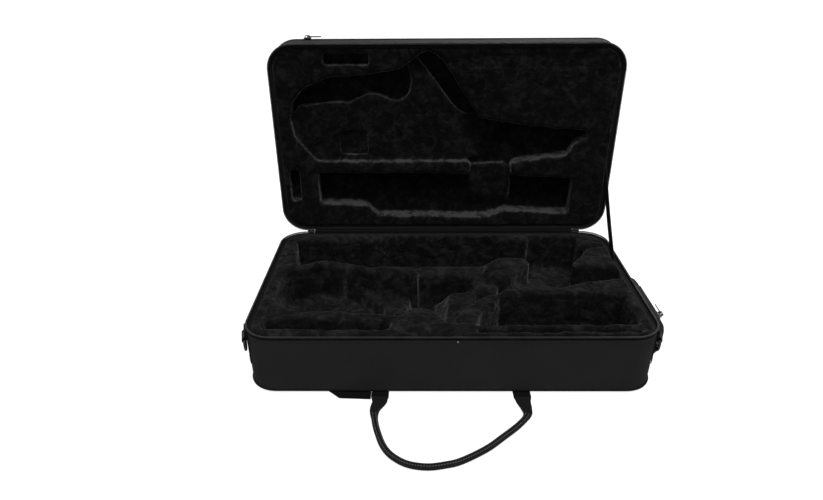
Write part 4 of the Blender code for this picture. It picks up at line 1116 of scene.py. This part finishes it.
def build_studio():
    """White surroundings, a pale floor, soft lights and the photograph's camera."""
    scene = bpy.context.scene
    scene.view_settings.view_transform = 'Standard'
    scene.world = bpy.data.worlds.new("white_room")
    scene.world.use_nodes = True
    tree = scene.world.node_tree
    room = white_to_camera(tree, ROOM_GREY, 1)
    tree.links.new(room.socket, tree.nodes["Background"].inputs["Color"])

    bm = bmesh.new()
    bmesh.ops.create_grid(bm, x_segments=1, y_segments=1, size=30)
    bmesh.ops.translate(bm, verts=bm.verts, vec=Vector((0, 0, FLOOR - 0.0002)))
    mesh = bpy.data.meshes.new("floor")
    bm.to_mesh(mesh)
    bm.free()
    paper = Surface("paper", 0.9, Specular_IOR_Level=0.2, Emission_Strength=1.0)
    paper.colour(paper.noise(3, 2), (0.3, 0.29), (0.7, 0.30))
    paper.feed("Emission Color", white_to_camera(paper.tree, 0, PAPER_GLOW))
    mesh.materials.append(paper.material)
    placed("floor", mesh)

    for name, place, target, size, power in (
            ("front", (-0.35, -1.55, 2.0), (0, 0, 0.15), 0.9, 5),
            ("back", (0.6, 2.1, 1.5), (0, 0.2, 0.3), 1.2, 34)):
        lamp = bpy.data.lights.new(name, 'AREA')
        lamp.shape = 'DISK'
        lamp.size = size
        lamp.energy = power
        made = placed(name, lamp)
        made.location = place
        made.rotation_euler = (Vector(target) - made.location).to_track_quat('-Z', 'Y').to_euler()
    lamp = bpy.data.lights.new("overhead", 'SUN')
    lamp.energy = 3.4
    lamp.angle = math.radians(25)
    placed("overhead", lamp).rotation_euler = (math.radians(20), math.radians(3), 0)

    lens = bpy.data.cameras.new("camera")
    lens.sensor_width = SENSOR
    lens.lens = FOCAL_PX * SENSOR / PHOTO_W
    scene.camera = placed("camera", lens)
    ahead = Vector((-math.sin(YAW) * math.cos(PITCH), math.cos(YAW) * math.cos(PITCH),
                    -math.sin(PITCH)))
    right = Vector((math.cos(YAW), math.sin(YAW), 0))
    turned = Matrix((right, right.cross(ahead), -ahead)).transposed().to_4x4()
    scene.camera.matrix_world = (Matrix.Translation(EYE) @ turned
                                 @ Matrix.Rotation(ROLL, 4, 'Z'))


# Finish of each piece and the name of its slot
LOOK = {
    "nylon": (woven("nylon_cloth", 0.0011, 0.016, 0.025, 0.75, 0.0002), "black_nylon"),
    # Base and lid plush are one cloth in two copies: the lid's copy has darker shades as painted
    # shade, and a painted highlight where it faces up.
    "base_plush": (plush("base_plush", (0.0026, 0.0066, 0.016, 0.02), 0.17, 0.0), "black_plush"),
    "lid_plush": (plush("lid_plush", (0.0018, 0.0044, 0.012, 0.030), 0.32, 0.62), "black_plush"),
    "webbing": (webbing("webbing", 0.003, 0.012), "black_webbing"),
    # Black zip tape, kept darker than the webbing: painted shade along the rim, and the dark inner
    # band in the groove.
    "tape": (webbing("zip_tape", 0.002, 0.006), "black_webbing"),
    # The hinge strip is the covers' nylon made much darker: painted shade for the gap between the
    # halves at the back.
    "hinge": (woven("hinge_cloth", 0.0012, 0.004, 0.009, 0.8, 0.0002), "black_nylon"),
    "strap": (woven("strap_cloth", 0.0014, 0.002, 0.006, 0.7, 0.0003), "black_webbing"),
    "coil": (moulded("coil_plastic", 0.014, 0.026, 0.45, Specular_IOR_Level=0.15), "black_coil"),
    "piping": (moulded("piping_cord", 0.005, 0.009, 0.65, Specular_IOR_Level=0.0), "grey_piping"),
    # Rim cord near black: painted shade for the dark line below the coil.
    "rim": (moulded("rim_cord_painted_shade", 0.003, 0.006, 0.65, Specular_IOR_Level=0.0), "grey_piping"),
    "thread": (moulded("thread", 0.014, 0.026, 0.55, Specular_IOR_Level=0.1), "black_webbing"),
    # Pale seam thread: real stitches coloured as a painted sheen along the handle's roll.
    "seam_painted_sheen": (moulded("pale_seam_thread_painted_sheen", 0.10, 0.15, 0.55, Specular_IOR_Level=0.1), "black_webbing"),
    "lacquer": (lacquered(), "black_metal"),
    "steel": (moulded("bright_rivet", 0.08, 0.12, 0.32, metallic=1.0), "bright_steel"),
}

build_linings()
build_shells()
build_piping()
build_zips()
build_hardware()
build_ring_tabs()
build_handles()
build_pocket()
build_pouch()
build_hinge()
build_stay()
paint_boards()
build_studio()
